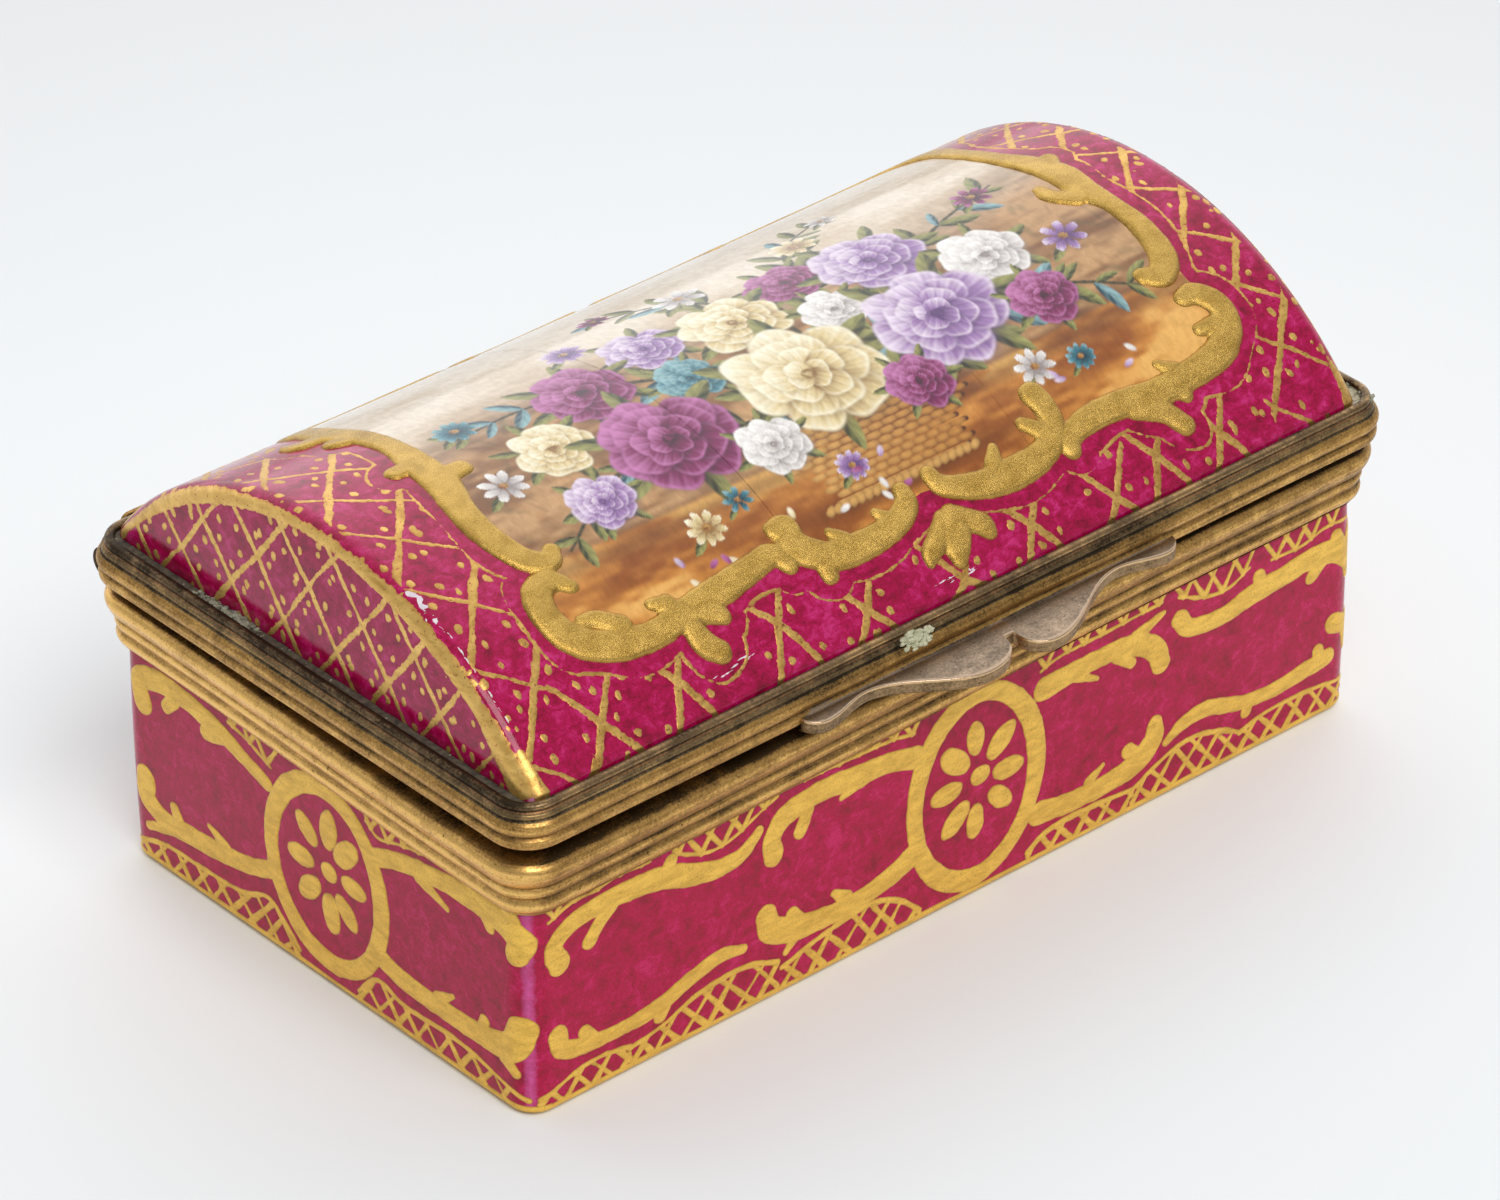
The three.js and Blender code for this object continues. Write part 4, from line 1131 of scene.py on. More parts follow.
class Painter:
    """Paints an image over a canvas, mark by mark."""

    def __init__(self, canvas):
        self.canvas = canvas
        self.image = np.zeros((*canvas.U.shape, 3))

    def cover(self, where, colour, alpha):
        alpha = np.clip(alpha, 0, 1)[..., None]
        self.image[where] = self.image[where] * (1 - alpha) + colour * alpha

    def turned(self, u, v, long, short, angle, grow):
        return self.canvas.turned(u, v, long, short, angle, max(long, short) * grow + 0.3)

    def dab(self, u, v, long, short, angle, dark, light, soft=0.25, alpha=1.0):
        """A brush mark, dark at its root and light at its tip."""
        where, along, across = self.turned(u, v, long, short, angle, 1.2)
        shade = np.clip(0.5 + 0.5 * along + 0.22 * across + 0.08 * np.sin(across * 9 + along * 2), 0, 1)
        self.cover(where, mix(dark, light, shade), alpha * smoothstep((1 - np.hypot(along, across)) / soft))

    def strand(self, u, v, long, short, dark, light, angle=0.0):
        """A rounded length of cane, light along its middle."""
        where, along, across = self.turned(u, v, long, short, angle, 1.1)
        round_off = np.clip(1 - 0.75 * along ** 2 - 0.45 * (across - 0.2) ** 2, 0, 1)
        self.cover(where, mix(dark, light, round_off), smoothstep((1 - np.hypot(along, across ** 2)) / 0.3))

    def line(self, places, colour, alpha=1.0):
        for where, _, away, half, _ in self.canvas.stretches(curve_through(places, 10), 0.4):
            self.cover(where, colour, alpha * smoothstep((half - away) / 0.22 + 0.5))

    def petal(self, u, v, out, wide, angle, tones, draw, lit):
        """One broad petal: shadow under it, streaks fanning from its root, a light turned rim."""
        under_u, under_v = around(u, v, 0.10 * out, 0.10 * out, angle)
        self.dab(under_u + 0.05 * out, under_v - 0.12 * out, out * 1.08, wide * 1.08, angle,
                 tones[0] * 0.5, tones[0] * 0.7, 0.5, 0.45)
        where, along, across = self.turned(u, v, out, wide, angle, 1.25)
        phase = draw.uniform(0, 6.28)
        fullness = 0.66 + 0.34 * np.clip(along * 0.5 + 0.6, 0, 1)
        rim = 1 + 0.07 * np.cos(across * 4.5 + phase) * (along > 0)
        away = np.hypot(along / rim, across / fullness)
        fan = np.arctan2(across, along + 1.7)
        streak = 0.07 * np.sin(fan * 31 + phase) + 0.05 * np.sin(fan * 67 + 2 * phase)
        shade = np.clip(0.42 + 0.5 * along + streak + lit - 0.12 * np.abs(across), 0, 1)
        colour = np.where((shade < 0.5)[..., None], mix(tones[0], tones[1], shade * 2),
                          mix(tones[1], tones[2], shade * 2 - 1))
        self.cover(where, colour, smoothstep((1 - away) / 0.14))
        edge = np.exp(-((away - 0.88) / 0.07) ** 2) * np.clip(along + 0.2, 0, 1)
        self.cover(where, tones[2], 0.55 * edge)

    def bloom(self, u, v, size, tones, seed):
        """A full garden flower of overlapping petals, lit from the upper left."""
        draw = np.random.default_rng(seed)
        self.dab(u + 0.10 * size, v - 0.20 * size, size * 1.1, size, 0, tones[0] * 0.3, tones[0] * 0.4,
                 0.6, 0.5)
        rings = ((0.62, 7, 0.44, 0.47), (0.44, 6, 0.38, 0.40), (0.27, 5, 0.30, 0.31), (0.12, 4, 0.21, 0.20))
        for radius, petals, out, wide in rings:
            first = draw.uniform(0, 360)
            for place in draw.permutation(petals):
                angle = first + 360 * place / petals + draw.uniform(-10, 10)
                reach = size * radius * draw.uniform(0.92, 1.08)
                self.petal(*around(u, v, reach, 0.9 * reach, angle),
                           size * out * draw.uniform(0.9, 1.1), size * wide * draw.uniform(0.9, 1.1), angle,
                           tones, draw, 0.20 * math.cos(math.radians(angle - 125)))
        for turn in range(5):
            angle = math.degrees(turn * 1.9 + seed)
            self.dab(*around(u, v, size * 0.07, size * 0.06, angle), size * 0.10, size * 0.035, angle + 90,
                     tones[0], tones[0] * 0.8, 0.5, 0.8)

    def daisy(self, u, v, size, tones, seed):
        """A small open flower: narrow petals round a honey-coloured heart."""
        draw = np.random.default_rng(seed)
        petals = int(draw.integers(7, 11))
        first = draw.uniform(0, 360)
        for place in range(petals):
            angle = first + 360 * place / petals + draw.uniform(-6, 6)
            self.petal(*around(u, v, 0.58 * size, 0.52 * size, angle), size * 0.42, size * 0.24, angle,
                       tones, draw, 0.15 * math.cos(math.radians(angle) - 2.2))
        self.dab(u, v, size * 0.24, size * 0.21, 0, HONEY[0], HONEY[2], 0.4)
        for _ in range(6):
            self.dab(u + draw.uniform(-0.16, 0.16) * size, v + draw.uniform(-0.14, 0.14) * size,
                     size * 0.05, size * 0.05, 0, HONEY[0] * 0.5, HONEY[0] * 0.5, 0.6, 0.7)

    def leaf(self, u, v, long, angle, tones, seed):
        """A leaf with a dark half, a light half, a midrib and side veins."""
        draw = np.random.default_rng(seed)
        where, along, across = self.turned(u, v, long, long * draw.uniform(0.34, 0.44), angle, 1.1)
        across = across - draw.uniform(-0.25, 0.25) * along ** 2
        aside = np.abs(across)
        pointed = aside / np.clip(1 - along ** 2, 0.02, 1) ** 0.8
        vein = 0.12 * np.sin(9 * (along - 0.7 * aside))
        shade = np.clip(0.45 + 0.35 * np.sign(across) * np.clip(aside * 3, 0, 1) + vein + 0.15 * along, 0, 1)
        self.cover(where, mix(tones[0], tones[2], shade),
                   smoothstep((1 - pointed) / 0.3) * (np.abs(along) < 1))
        self.cover(where, tones[2] * 0.9, 0.6 * np.exp(-(across / 0.07) ** 2) * (np.abs(along) < 0.9))


# Tones as dark, middle and light
CLARET = from_srgb((66, 10, 40), (128, 34, 88), (196, 120, 176))
LILAC = from_srgb((96, 62, 118), (160, 122, 178), (232, 218, 236))
CREAM = from_srgb((150, 112, 62), (222, 200, 148), (250, 244, 220))
WHITE = from_srgb((150, 140, 140), (214, 208, 206), (250, 248, 246))
TEAL = from_srgb((24, 62, 76), (62, 122, 138), (150, 190, 196))
LEAF = from_srgb((46, 50, 26), (92, 100, 52), (160, 158, 92))
RUST = from_srgb((70, 34, 14), (128, 72, 30), (196, 140, 78))
HONEY = from_srgb((122, 66, 18), (190, 126, 52), (212, 162, 90))
GROUND = from_srgb((146, 80, 26), (212, 142, 62), (240, 190, 108))
BANK = from_srgb((126, 82, 44), (196, 152, 104))
SKY_AND_SHEEN = from_srgb((206, 184, 156), (230, 216, 198))


def paint_ground(painter):
    """A ledge below, a shaded bank behind it and a pale sky, all in loose strokes; the sky's paleness towards
    the lid's back is also a painted reflection of the glaze.
    """
    canvas = painter.canvas
    points = np.stack([canvas.U, canvas.V], -1)
    wide = value_noise(201, points * [0.35, 1.0], 3.0)
    fine = value_noise(202, points * [0.5, 1.5], 0.9)
    ledge = mix(*GROUND[:2], smoothstep(0.55 + 0.7 * wide + 0.3 * fine))
    ledge = mix(ledge, GROUND[2], 0.75 * smoothstep((wide + 0.25 * fine - 0.1) / 0.6))
    bank = mix(*BANK, smoothstep(0.5 + 0.55 * wide + 0.35 * fine))
    # The pale sky stands partly for a painted reflection in the glaze
    sky_and_sheen = mix(*SKY_AND_SHEEN, smoothstep(0.5 + 0.6 * wide + 0.2 * fine))
    above = canvas.V - (-14.4 + 0.35 * waves(203, canvas.U, 70))
    image = mix(ledge, bank, smoothstep(above / 0.7 + 0.5))
    shadow = np.exp(-(above + 1.3) ** 2) + 0.7 * np.exp(-((above - 0.2) / 0.4) ** 2)
    image = mix(image, from_srgb(92, 46, 16), np.clip(0.55 * shadow, 0, 0.75))
    top = 2.0 + 2.5 * waves(204, canvas.U, 60)
    painter.image = mix(image, sky_and_sheen, smoothstep((canvas.V - top) / 10 + 0.3))


def paint_basket(painter):
    """A low wicker basket on the ledge, its strands laid over shaded gaps."""
    foot, brim, middle, half_width = -20.4, -13.2, 1.0, 10.6
    pitch = 1.62
    for row, v in enumerate(np.arange(foot, brim, 0.74)):
        half = half_width * (0.80 + 0.20 * (v - foot) / (brim - foot))
        count = int(half // pitch)
        for place in range(-count, count + 1):
            u = middle + (place + 0.5 * (row % 2)) * pitch * half / (half_width * 0.98)
            lit = np.clip(0.62 - 0.5 * (u - middle) / half, 0, 1)
            shade = mix(RUST[0] * 0.6, RUST[1], lit)
            painter.dab(u + 0.8, v, 0.34, 0.5, 90, shade, shade * 1.3, 0.4)
            painter.strand(u, v, 1.0, 0.36, mix(RUST[0], HONEY[0], lit), mix(HONEY[1], HONEY[2], lit))
    for v, thick, share in ((foot - 0.3, 0.42, 0.80), (brim + 0.3, 0.55, 1.02)):
        for u in np.arange(middle - half_width * share, middle + half_width * share, 0.86):
            painter.strand(u, v, 0.74, thick, RUST[0], HONEY[2], 32)


# Stems that arch out of the basket from one root, as (u, v, half width)
STEM_ROOT = (1, -14, 0.35)
STEMS = [
    [(-10, -9, 0.3), (-22, -9, 0.22), (-31, -14, 0.12)], [(-8, -2, 0.28), (-20, 3, 0.2), (-30, 3, 0.12)],
    [(4, -3, 0.28), (1, 9, 0.2), (-6, 14.5, 0.12)], [(12, -5, 0.28), (23, 2, 0.2), (33, 5, 0.12)],
    [(14, -11, 0.3), (26, -10, 0.22), (34, -14, 0.12)], [(9, 0, 0.26), (13, 10, 0.18), (20, 14, 0.1)],
]
# Flowers as (u, v, size, tones, seed)
BLOOMS = [
    (16.5, 2.6, 5.2, LILAC, 222), (-16.5, 2.2, 4.8, CLARET, 221), (0.8, 2.6, 4.9, CREAM, 223),
    (8.8, 5.0, 3.6, CLARET, 225), (-7.6, 4.6, 3.8, LILAC, 224), (-24.2, -3.2, 3.9, CREAM, 228),
    (24.6, -3.6, 4.1, WHITE, 229), (-15.0, -7.6, 6.4, CLARET, 236), (15.6, -7.4, 6.6, LILAC, 227),
    (0.8, -7.4, 7.0, CREAM, 226), (-8.0, -2.0, 3.2, TEAL, 240), (8.8, -1.6, 3.2, WHITE, 241),
    (-7.6, -12.6, 3.3, WHITE, 242), (8.6, -12.9, 3.2, CLARET, 243), (25.2, -10.6, 3.4, CLARET, 244),
    (-25.0, -10.8, 3.2, LILAC, 245),
]
DAISIES = [
    (1.4, 10.6, 2.6, WHITE, 251), (-12.4, 9.6, 2.2, LILAC, 252), (14.6, 10.6, 2.3, CREAM, 253),
    (-31.0, -5.0, 2.3, WHITE, 254), (32.0, -5.6, 2.3, LILAC, 255), (30.4, 4.6, 2.0, CLARET, 256),
    (-28.6, 4.4, 2.1, TEAL, 257), (-5.4, 14.2, 1.6, CLARET, 258), (20.4, 13.6, 1.6, WHITE, 259),
    (-2.8, -17.6, 1.7, LILAC, 260), (19.0, -16.6, 2.1, WHITE, 261), (-18.8, -17.2, 2.0, CREAM, 262),
    (23.6, -17.6, 1.5, TEAL, 263), (-14.4, -16.0, 1.5, TEAL, 264),
]
RESERVE_STEP = 0.14
RESERVE_PARTS = ((-38.0, -12.6), (-12.6, 13.4), (13.4, 40.0))


def paint_reserve(canvas):
    painter = Painter(canvas)
    paint_ground(painter)
    draw = np.random.default_rng(210)
    # Loose foliage in the bank behind the flowers
    for _ in range(260):
        u = draw.uniform(-34, 38)
        v = draw.uniform(-13, 5) + 3 * math.cos(u / 11)
        tones = (RUST, LEAF, HONEY)[draw.integers(3)]
        painter.dab(u, v, draw.uniform(0.8, 2.6), draw.uniform(0.25, 0.7), draw.uniform(20, 160),
                    tones[0], tones[1], 0.8, draw.uniform(0.10, 0.35))
    basket_shadow = from_srgb(70, 34, 12)
    painter.dab(1.0, -20.8, 17, 1.6, 0, basket_shadow, basket_shadow, 0.9, 0.65)
    for rest in STEMS:
        stem = [STEM_ROOT, *rest]
        painter.line(stem, LEAF[0], 0.9)
        line = curve_through(stem, 6)
        for order in range(3, len(line) - 1, 2):
            heading = math.degrees(math.atan2(*(line[order + 1] - line[order])[[1, 0]]))
            for side in (-1, 1):
                angle = heading + side * draw.uniform(28, 55)
                long = draw.uniform(1.7, 2.9) * (1.15 - order / len(line) * 0.5)
                tones = LEAF if draw.random() < 0.72 else TEAL
                painter.leaf(*around(*line[order][:2], long, long, angle), long, angle, tones,
                             int(draw.integers(1e6)))
    paint_basket(painter)
    for u, v, size, tones, seed in sorted(BLOOMS, key=lambda bloom: -bloom[1]):
        for order in range(6):
            angle = 60 * order + (seed * 37) % 60
            painter.leaf(*around(u, v, size * 1.05, size * 0.95, angle), size * 0.42, angle, LEAF,
                         seed + order)
        painter.bloom(u, v, size, tones, seed)
    for u, v, size, tones, seed in DAISIES:
        painter.leaf(u - size * 0.8, v - size * 0.7, size * 0.6, 215, LEAF, seed)
        painter.daisy(u, v, size, tones, seed)
    # Fallen petals on the ledge
    for _ in range(16):
        u = draw.uniform(-30, 34)
        tones = (CLARET, CREAM, LILAC, WHITE)[draw.integers(4)]
        painter.dab(u, draw.uniform(-21.5, -17.5), 0.75, 0.38, draw.uniform(0, 180), tones[1], tones[2], 0.5)
    return painter.image


def build_reserve():
    for number, part in enumerate(RESERVE_PARTS, 1):
        canvas = Canvas(part, (-25.5, 28.5), RESERVE_STEP)
        canvas.field = polygon_field(canvas, reserve_line)
        image = paint_reserve(canvas)
        u, v, _, _, faces = canvas.outline_mesh()
        i, j = (np.clip((at - grid[0]) / canvas.step, 0, len(grid) - 1.001)
                for at, grid in ((u, canvas.u), (v, canvas.v)))
        i0, j0 = i.astype(int), j.astype(int)
        a, b = (i - i0)[:, None], (j - j0)[:, None]
        colours = (image[i0, j0] * (1 - a) * (1 - b) + image[i0 + 1, j0] * a * (1 - b)
                   + image[i0, j0 + 1] * (1 - a) * b + image[i0 + 1, j0 + 1] * a * b)
        make_mesh(f"painted_reserve_{number}", lid_surface(u, v, np.full(u.shape, 0.02)), faces, [painting],
                  "lid", colours=colours)


# Brass mounts

# Sections as (share of the reach, share of the height)
BASE_SECTION = [
    (0.30, -0.01), (0.24, 0.0), (0.41, 0.05), (0.55, 0.12), (0.59, 0.20), (0.50, 0.29), (0.50, 0.32),
    (0.58, 0.37), (0.635, 0.44), (0.60, 0.50), (0.57, 0.53), (0.66, 0.57), (0.80, 0.64), (0.92, 0.72),
    (0.99, 0.80), (0.985, 0.87), (0.90, 0.94), (0.74, 1.0),
]
LID_SECTION = [
    (0.60, -0.005), (0.79, 0.0), (0.90, 0.05), (0.935, 0.13), (0.925, 0.21), (0.84, 0.27), (0.835, 0.30),
    (0.92, 0.35), (0.985, 0.42), (1.0, 0.49), (0.95, 0.58), (0.86, 0.64), (0.77, 0.68), (0.79, 0.73),
    (0.75, 0.79), (0.66, 0.82),
]
SLOPE_FROM = 10                 # where the slope begins in the lid's section
BASE_REACH = 2.05
LID_REACH = 2.15
LID_RIM_RADIUS = 1.8
RIM_WALL = 1.25
LIP_REACH = 1.3
LIP_WIDTH = 0.8
LIP_DEPTH = 0.8
LIP_INSIDE = LIP_REACH - LIP_WIDTH
# The lip's own section as (place outwards, depth below the top)
LIP_SECTION = [(LIP_REACH + 0.02, 0.62), (LIP_REACH + 0.08, 0.35), (LIP_REACH - 0.02, 0.12),
               (LIP_REACH - 0.25, 0.01), (LIP_INSIDE + 0.25, 0.02), (LIP_INSIDE + 0.04, 0.16),
               (LIP_INSIDE, 0.45)]
# Where the slope, its coppery upper line and the lip begin, in shares of the lid rim's outline
LID_BANDS = (0.50, 0.665, 0.71)
KNUCKLE_RADIUS = (knuckle_high[2] - knuckle_low[2]) / 2
KNUCKLE_BORE = 0.72
HINGE_SPACE = KNUCKLE_RADIUS + 0.3
THUMB_CENTRE = (thumb_low[0] + thumb_high[0]) / 2
THUMB_HALF = (thumb_high[0] - thumb_low[0]) / 2


def clear_hinge(points):
    """Moves points out of the space in which the knuckles turn."""
    from_pin = points[:, 1:] - hinge_at[1:]
    away = np.hypot(*from_pin.T)
    wanted = HINGE_SPACE * smoothstep((pin_high[0] + 0.9 - np.abs(points[:, 0])) / 0.6)
    scale = np.where((away < wanted) & (points[:, 1] > 0), wanted / np.maximum(away, 1e-6), 1)
    return np.column_stack([points[:, 0], hinge_at[1:] + from_pin * scale[:, None]])


def rim_sag(x, y):
    """How far the crooked base rim stands above or below straight: low at the front left corner."""
    back = np.clip((y + 29) / 58, 0, 1)
    lift = -0.85 + 1.15 * smoothstep(np.clip((x + 50) / 100, 0, 1) / 0.85)
    end = -0.85 + 1.15 * smoothstep(back)
    share = smoothstep(back * 2)
    return lift * (1 - share) + np.maximum(lift, end) * share


def lit_left_end(points, _):
    """Painted light: brighter gilding on the left end of the base's rim."""
    return -0.22 * smoothstep((-tray_half[0] + 2 - points[:, 0]) / 2)


def lid_stain(points, share):
    """Extra dirt above the thumbpiece and on the lip's left end, by place in plan and along the outline."""
    along = smoothstep((THUMB_HALF + 3 - np.abs(points[:, 0] - THUMB_CENTRE)) / 5)
    reach = smoothstep((share - 0.35) / 0.1) * smoothstep((0.74 - share) / 0.08)
    grime = smoothstep((4 - lid_rim_high[0] - points[:, 0]) / 3) * smoothstep((share - 0.68) / 0.1)
    return 0.14 * along * (points[:, 1] < 0) * reach + 0.26 * grime


def moulding(name, half, radius, outline, inner, materials, body, seed, stain_and_light, replaced, bands=(), sag=None):
    """A moulded rim lofted round the box: outline is [(offset, z)], inner closes the section."""
    profile = curve_through(outline, 5)
    section = np.concatenate([profile, inner])
    smooth_line = np.convolve(np.pad(profile[:, 0], 6, mode="edge"), np.ones(13) / 13, "valid")
    depth = np.clip((smooth_line - profile[:, 0]) * 5, -1, 1)
    groove_and_light = np.concatenate([0.5 + 0.5 * depth, np.full(len(inner), 0.8)])
    last = len(profile) - 1
    rows, grooves, kinds = [], [], []
    for order, (offset, z) in enumerate(section):
        points, normals = plan_ring(half + offset, radius + offset)
        along = ring_length(points)
        total = along[-1] + 0.5
        height = z + 0.05 * waves(seed + 3, along, total, 9, 0.9)
        if order <= last:
            dent = 0.045 * waves(seed, along, total, 14, 0.95)
            dent = dent + 0.02 * waves(seed + order, along, total, 30, 1)
            points = points + normals * dent[:, None]
            height = height + (sag(*points.T) if sag else 0)
        rows.append(clear_hinge(np.column_stack([points, height])))
        # stain_and_light adds dirt on the lid's rim and painted light on the base rim's left end
        grooves.append(groove_and_light[order] + stain_and_light(points, order / last))
        kinds.append(sum(order / last > start for start in bands) if order < last else 0)
    points, quads, _, _ = skin(rows, True)
    make_mesh(name, points, [quads], materials, body, np.repeat(kinds, len(rows[0])),
              {"groove_and_light": np.concatenate(grooves)}, replaces=[replaced])


def build_rims():
    low, top = rim_low[2], rim_high[2]
    outline = [(BASE_REACH * share, low + (top - low) * level) for share, level in BASE_SECTION]
    flange = tray_top + 0.25
    collar = bezel_high[0] - tray_half[0] + 0.1
    inner = [(collar, top - 0.05), (collar, flange), (0.12, flange), (0.28, low + 0.1)]
    moulding("rim_of_base", tray_half, TRAY_RADIUS, outline, inner, [brass], "base", 301, lit_left_end,
             "base_rim", sag=rim_sag)
    low, top = lid_rim_low[2], lid_rim_high[2]
    outline = [(LID_REACH * share, low + (top - low) * level) for share, level in LID_SECTION]
    outline += [(out, top - down) for out, down in LIP_SECTION]
    inner = [(LID_REACH - RIM_WALL, top - LIP_DEPTH), (LID_REACH - RIM_WALL, low + 0.05)]
    moulding("rim_of_lid", lid_rim_high[:2] - LID_REACH, LID_RIM_RADIUS, outline, inner,
             [brass, patina, copper_tint, lip_metal], "lid", 311, lid_stain, "lid_rim", LID_BANDS)


def lofted_frame(name, levels, body, grooves, replaced):
    """A flat frame through levels of (half size, corner radius, z), with the grooves' depth at each."""
    rows = [flat_ring(*level) for level in levels]
    points, quads, _, _ = skin(rows, True)
    make_mesh(name, points, [quads], [brass], body,
              attributes={"groove_and_light": np.repeat(grooves, len(rows[0]))}, replaces=[replaced])


def build_bezel():
    """The collar that the lid closes over, on its strip over the tray's edge."""
    wall = 0.6
    outer = bezel_high[:2]
    inner = outer - wall
    strip = np.minimum(tray_half - TRAY_WALL + 0.1, inner - 0.2)
    low, top = bezel_low[2], bezel_high[2]
    step = low + wall
    levels = [(strip, 2.2, low), (outer, 1.3, low), (outer, 1.3, top - 0.15), (outer - 0.12, 1.2, top),
              (inner + 0.12, 0.85, top), (inner, 0.7, top - 0.15), (inner, 0.7, step + 0.2),
              (inner - 0.06, 0.7, step), (strip + 0.08, 2.2, step), (strip, 2.2, step - 0.1)]
    lofted_frame("closing_collar", levels, "base", [0.7, 0.6, 0.35, 0.25, 0.25, 0.4, 0.6, 0.75, 0.4, 0.5],
                 "base_bezel")


def build_shelf():
    low, top = shelf_low[2], shelf_high[2]
    width = 2.2
    section = [(0, low), (0, top), (width - 0.1, top), (width, top - 0.1), (width, low + 0.1),
               (width - 0.1, low)]
    levels = [(shelf_high[:2] - inset, max(2.5 - inset, 0.4), z) for inset, z in section]
    lofted_frame("shelf_in_lid", levels, "lid", [0.5] * len(levels), "lid_shelf")


def turned_rod(name, node, radius, bore, material, body, seed, ease=0.18):
    """A tube or rod along X with eased ends."""
    low, high = (corner[0] for corner in box_mm(node))
    eased = [(ease * (1 - math.cos(a)), radius - ease * (1 - math.sin(a))) for a in (0, 0.5, 1)]
    rings = [(low + inset, reach) for inset, reach in eased]
    rings += [(x, radius) for x in np.linspace(low + ease, high - ease, 26)]
    rings += [(high - inset, reach) for inset, reach in eased[::-1]]
    if bore:
        rings += [(high, bore + 0.08), (high - 0.1, bore), (low + 0.1, bore), (low, bore + 0.08)]
    turn = 2 * math.pi * np.arange(64) / 64
    rows = []
    for x, reach in rings:
        reach = reach + (0.012 * waves(seed, turn, 2 * math.pi, 3) if reach == radius else 0)
        rows.append(np.column_stack([np.full(len(turn), x), hinge_at[1] - reach * np.cos(turn),
                                     hinge_at[2] + reach * np.sin(turn)]))
    points, *faces = skin(rows, bool(bore))
    groove_and_light = np.repeat([0.35 if reach == radius else 0.8 for _, reach in rings], len(turn))
    make_mesh(name, points, [group[:, ::-1] for group in faces[:1 if bore else 3]], [material], body,
              attributes={"groove_and_light": groove_and_light}, replaces=[node])


def build_hinge():
    turned_rod("pin_of_hinge", "hinge_pin", (pin_high[2] - pin_low[2]) / 2, 0, pin_metal, "base",
               401, 0.12)
    for body in ("base", "lid"):
        for node in sorted(name for name in frame["nodes"] if name.startswith(f"hinge_knuckle_{body}_")):
            turned_rod(f"knuckle_{body}_{node[-1]}", node, KNUCKLE_RADIUS, KNUCKLE_BORE, brass, body,
                       410 + int(node[-1]))
    for body in ("base", "lid"):
        build_leaf(body)


def build_leaf(body):
    """A strap soldered behind a rim, its edges eased by hand."""
    node = f"hinge_leaf_{body}"
    low, high = box_mm(node)
    middle = (low + high) / 2
    half = (high - low) / 2
    ease = 0.14
    corner = 0.9
    rows = []
    for depth, inset in ((half[1], 0.02), (half[1] * 0.6, 0), (-half[1] + ease, 0), (-half[1], ease)):
        plan = plan_ring(half[[0, 2]] - inset, corner - inset)[0]
        rows.append(np.column_stack([middle[0] + plan[:, 0], np.full(len(plan), middle[1] - depth),
                                     middle[2] + plan[:, 1]]))
    points, *faces = skin(rows, False)
    make_mesh(f"strap_of_{body}", points, faces, [brass], body,
              attributes={"groove_and_light": np.full(len(points), 0.55)}, smooth=False, replaces=[node])


# The thumbpiece, drawn in plan over (x, y)

THUMB_THICKNESS = 1.3
THUMB_SLOPE = math.tan(math.radians(8))
THUMB_NICK = 1.15               # a square nick at the right of the notch
THUMB_ROOT = 0.55               # how far its root reaches into the rim
THUMB_EDGE = 0.11
# The notch, the lobes, the waists and the tails as (place from the middle, reach outwards)
THUMB_TURNS = [(0, 1.8), (3.9, 4.5), (14.4, 0.5), (19.4, 1.5)]


def round_end(share):
    """Height of a quarter circle at a share of its width."""
    share = np.clip(share, 0, 1)
    return np.sqrt(np.clip(1 - (1 - share) ** 2, 0, 1))


def thumb_reach(x):
    """Reach of the two-lobed edge outwards at a place along the thumbpiece."""
    place = np.abs(x - THUMB_CENTRE)
    (_, notch), (lobe, deep), (waist, thin), (tail, foot) = THUMB_TURNS
    nick = np.where(x > THUMB_CENTRE, THUMB_NICK, 0)
    in_lobe = notch + (deep - notch) * round_end((place - nick) / (lobe - nick)) ** 0.8
    to_waist = deep + (thin - deep) * smoothstep((place - lobe) / (waist - lobe))
    to_tail = thin + (foot - thin) * smoothstep((place - waist) / (tail - waist))
    end = foot * round_end((THUMB_HALF - place) / (THUMB_HALF - tail))
    return np.select([place < lobe, place < waist, place < tail], [in_lobe, to_waist, to_tail], end)


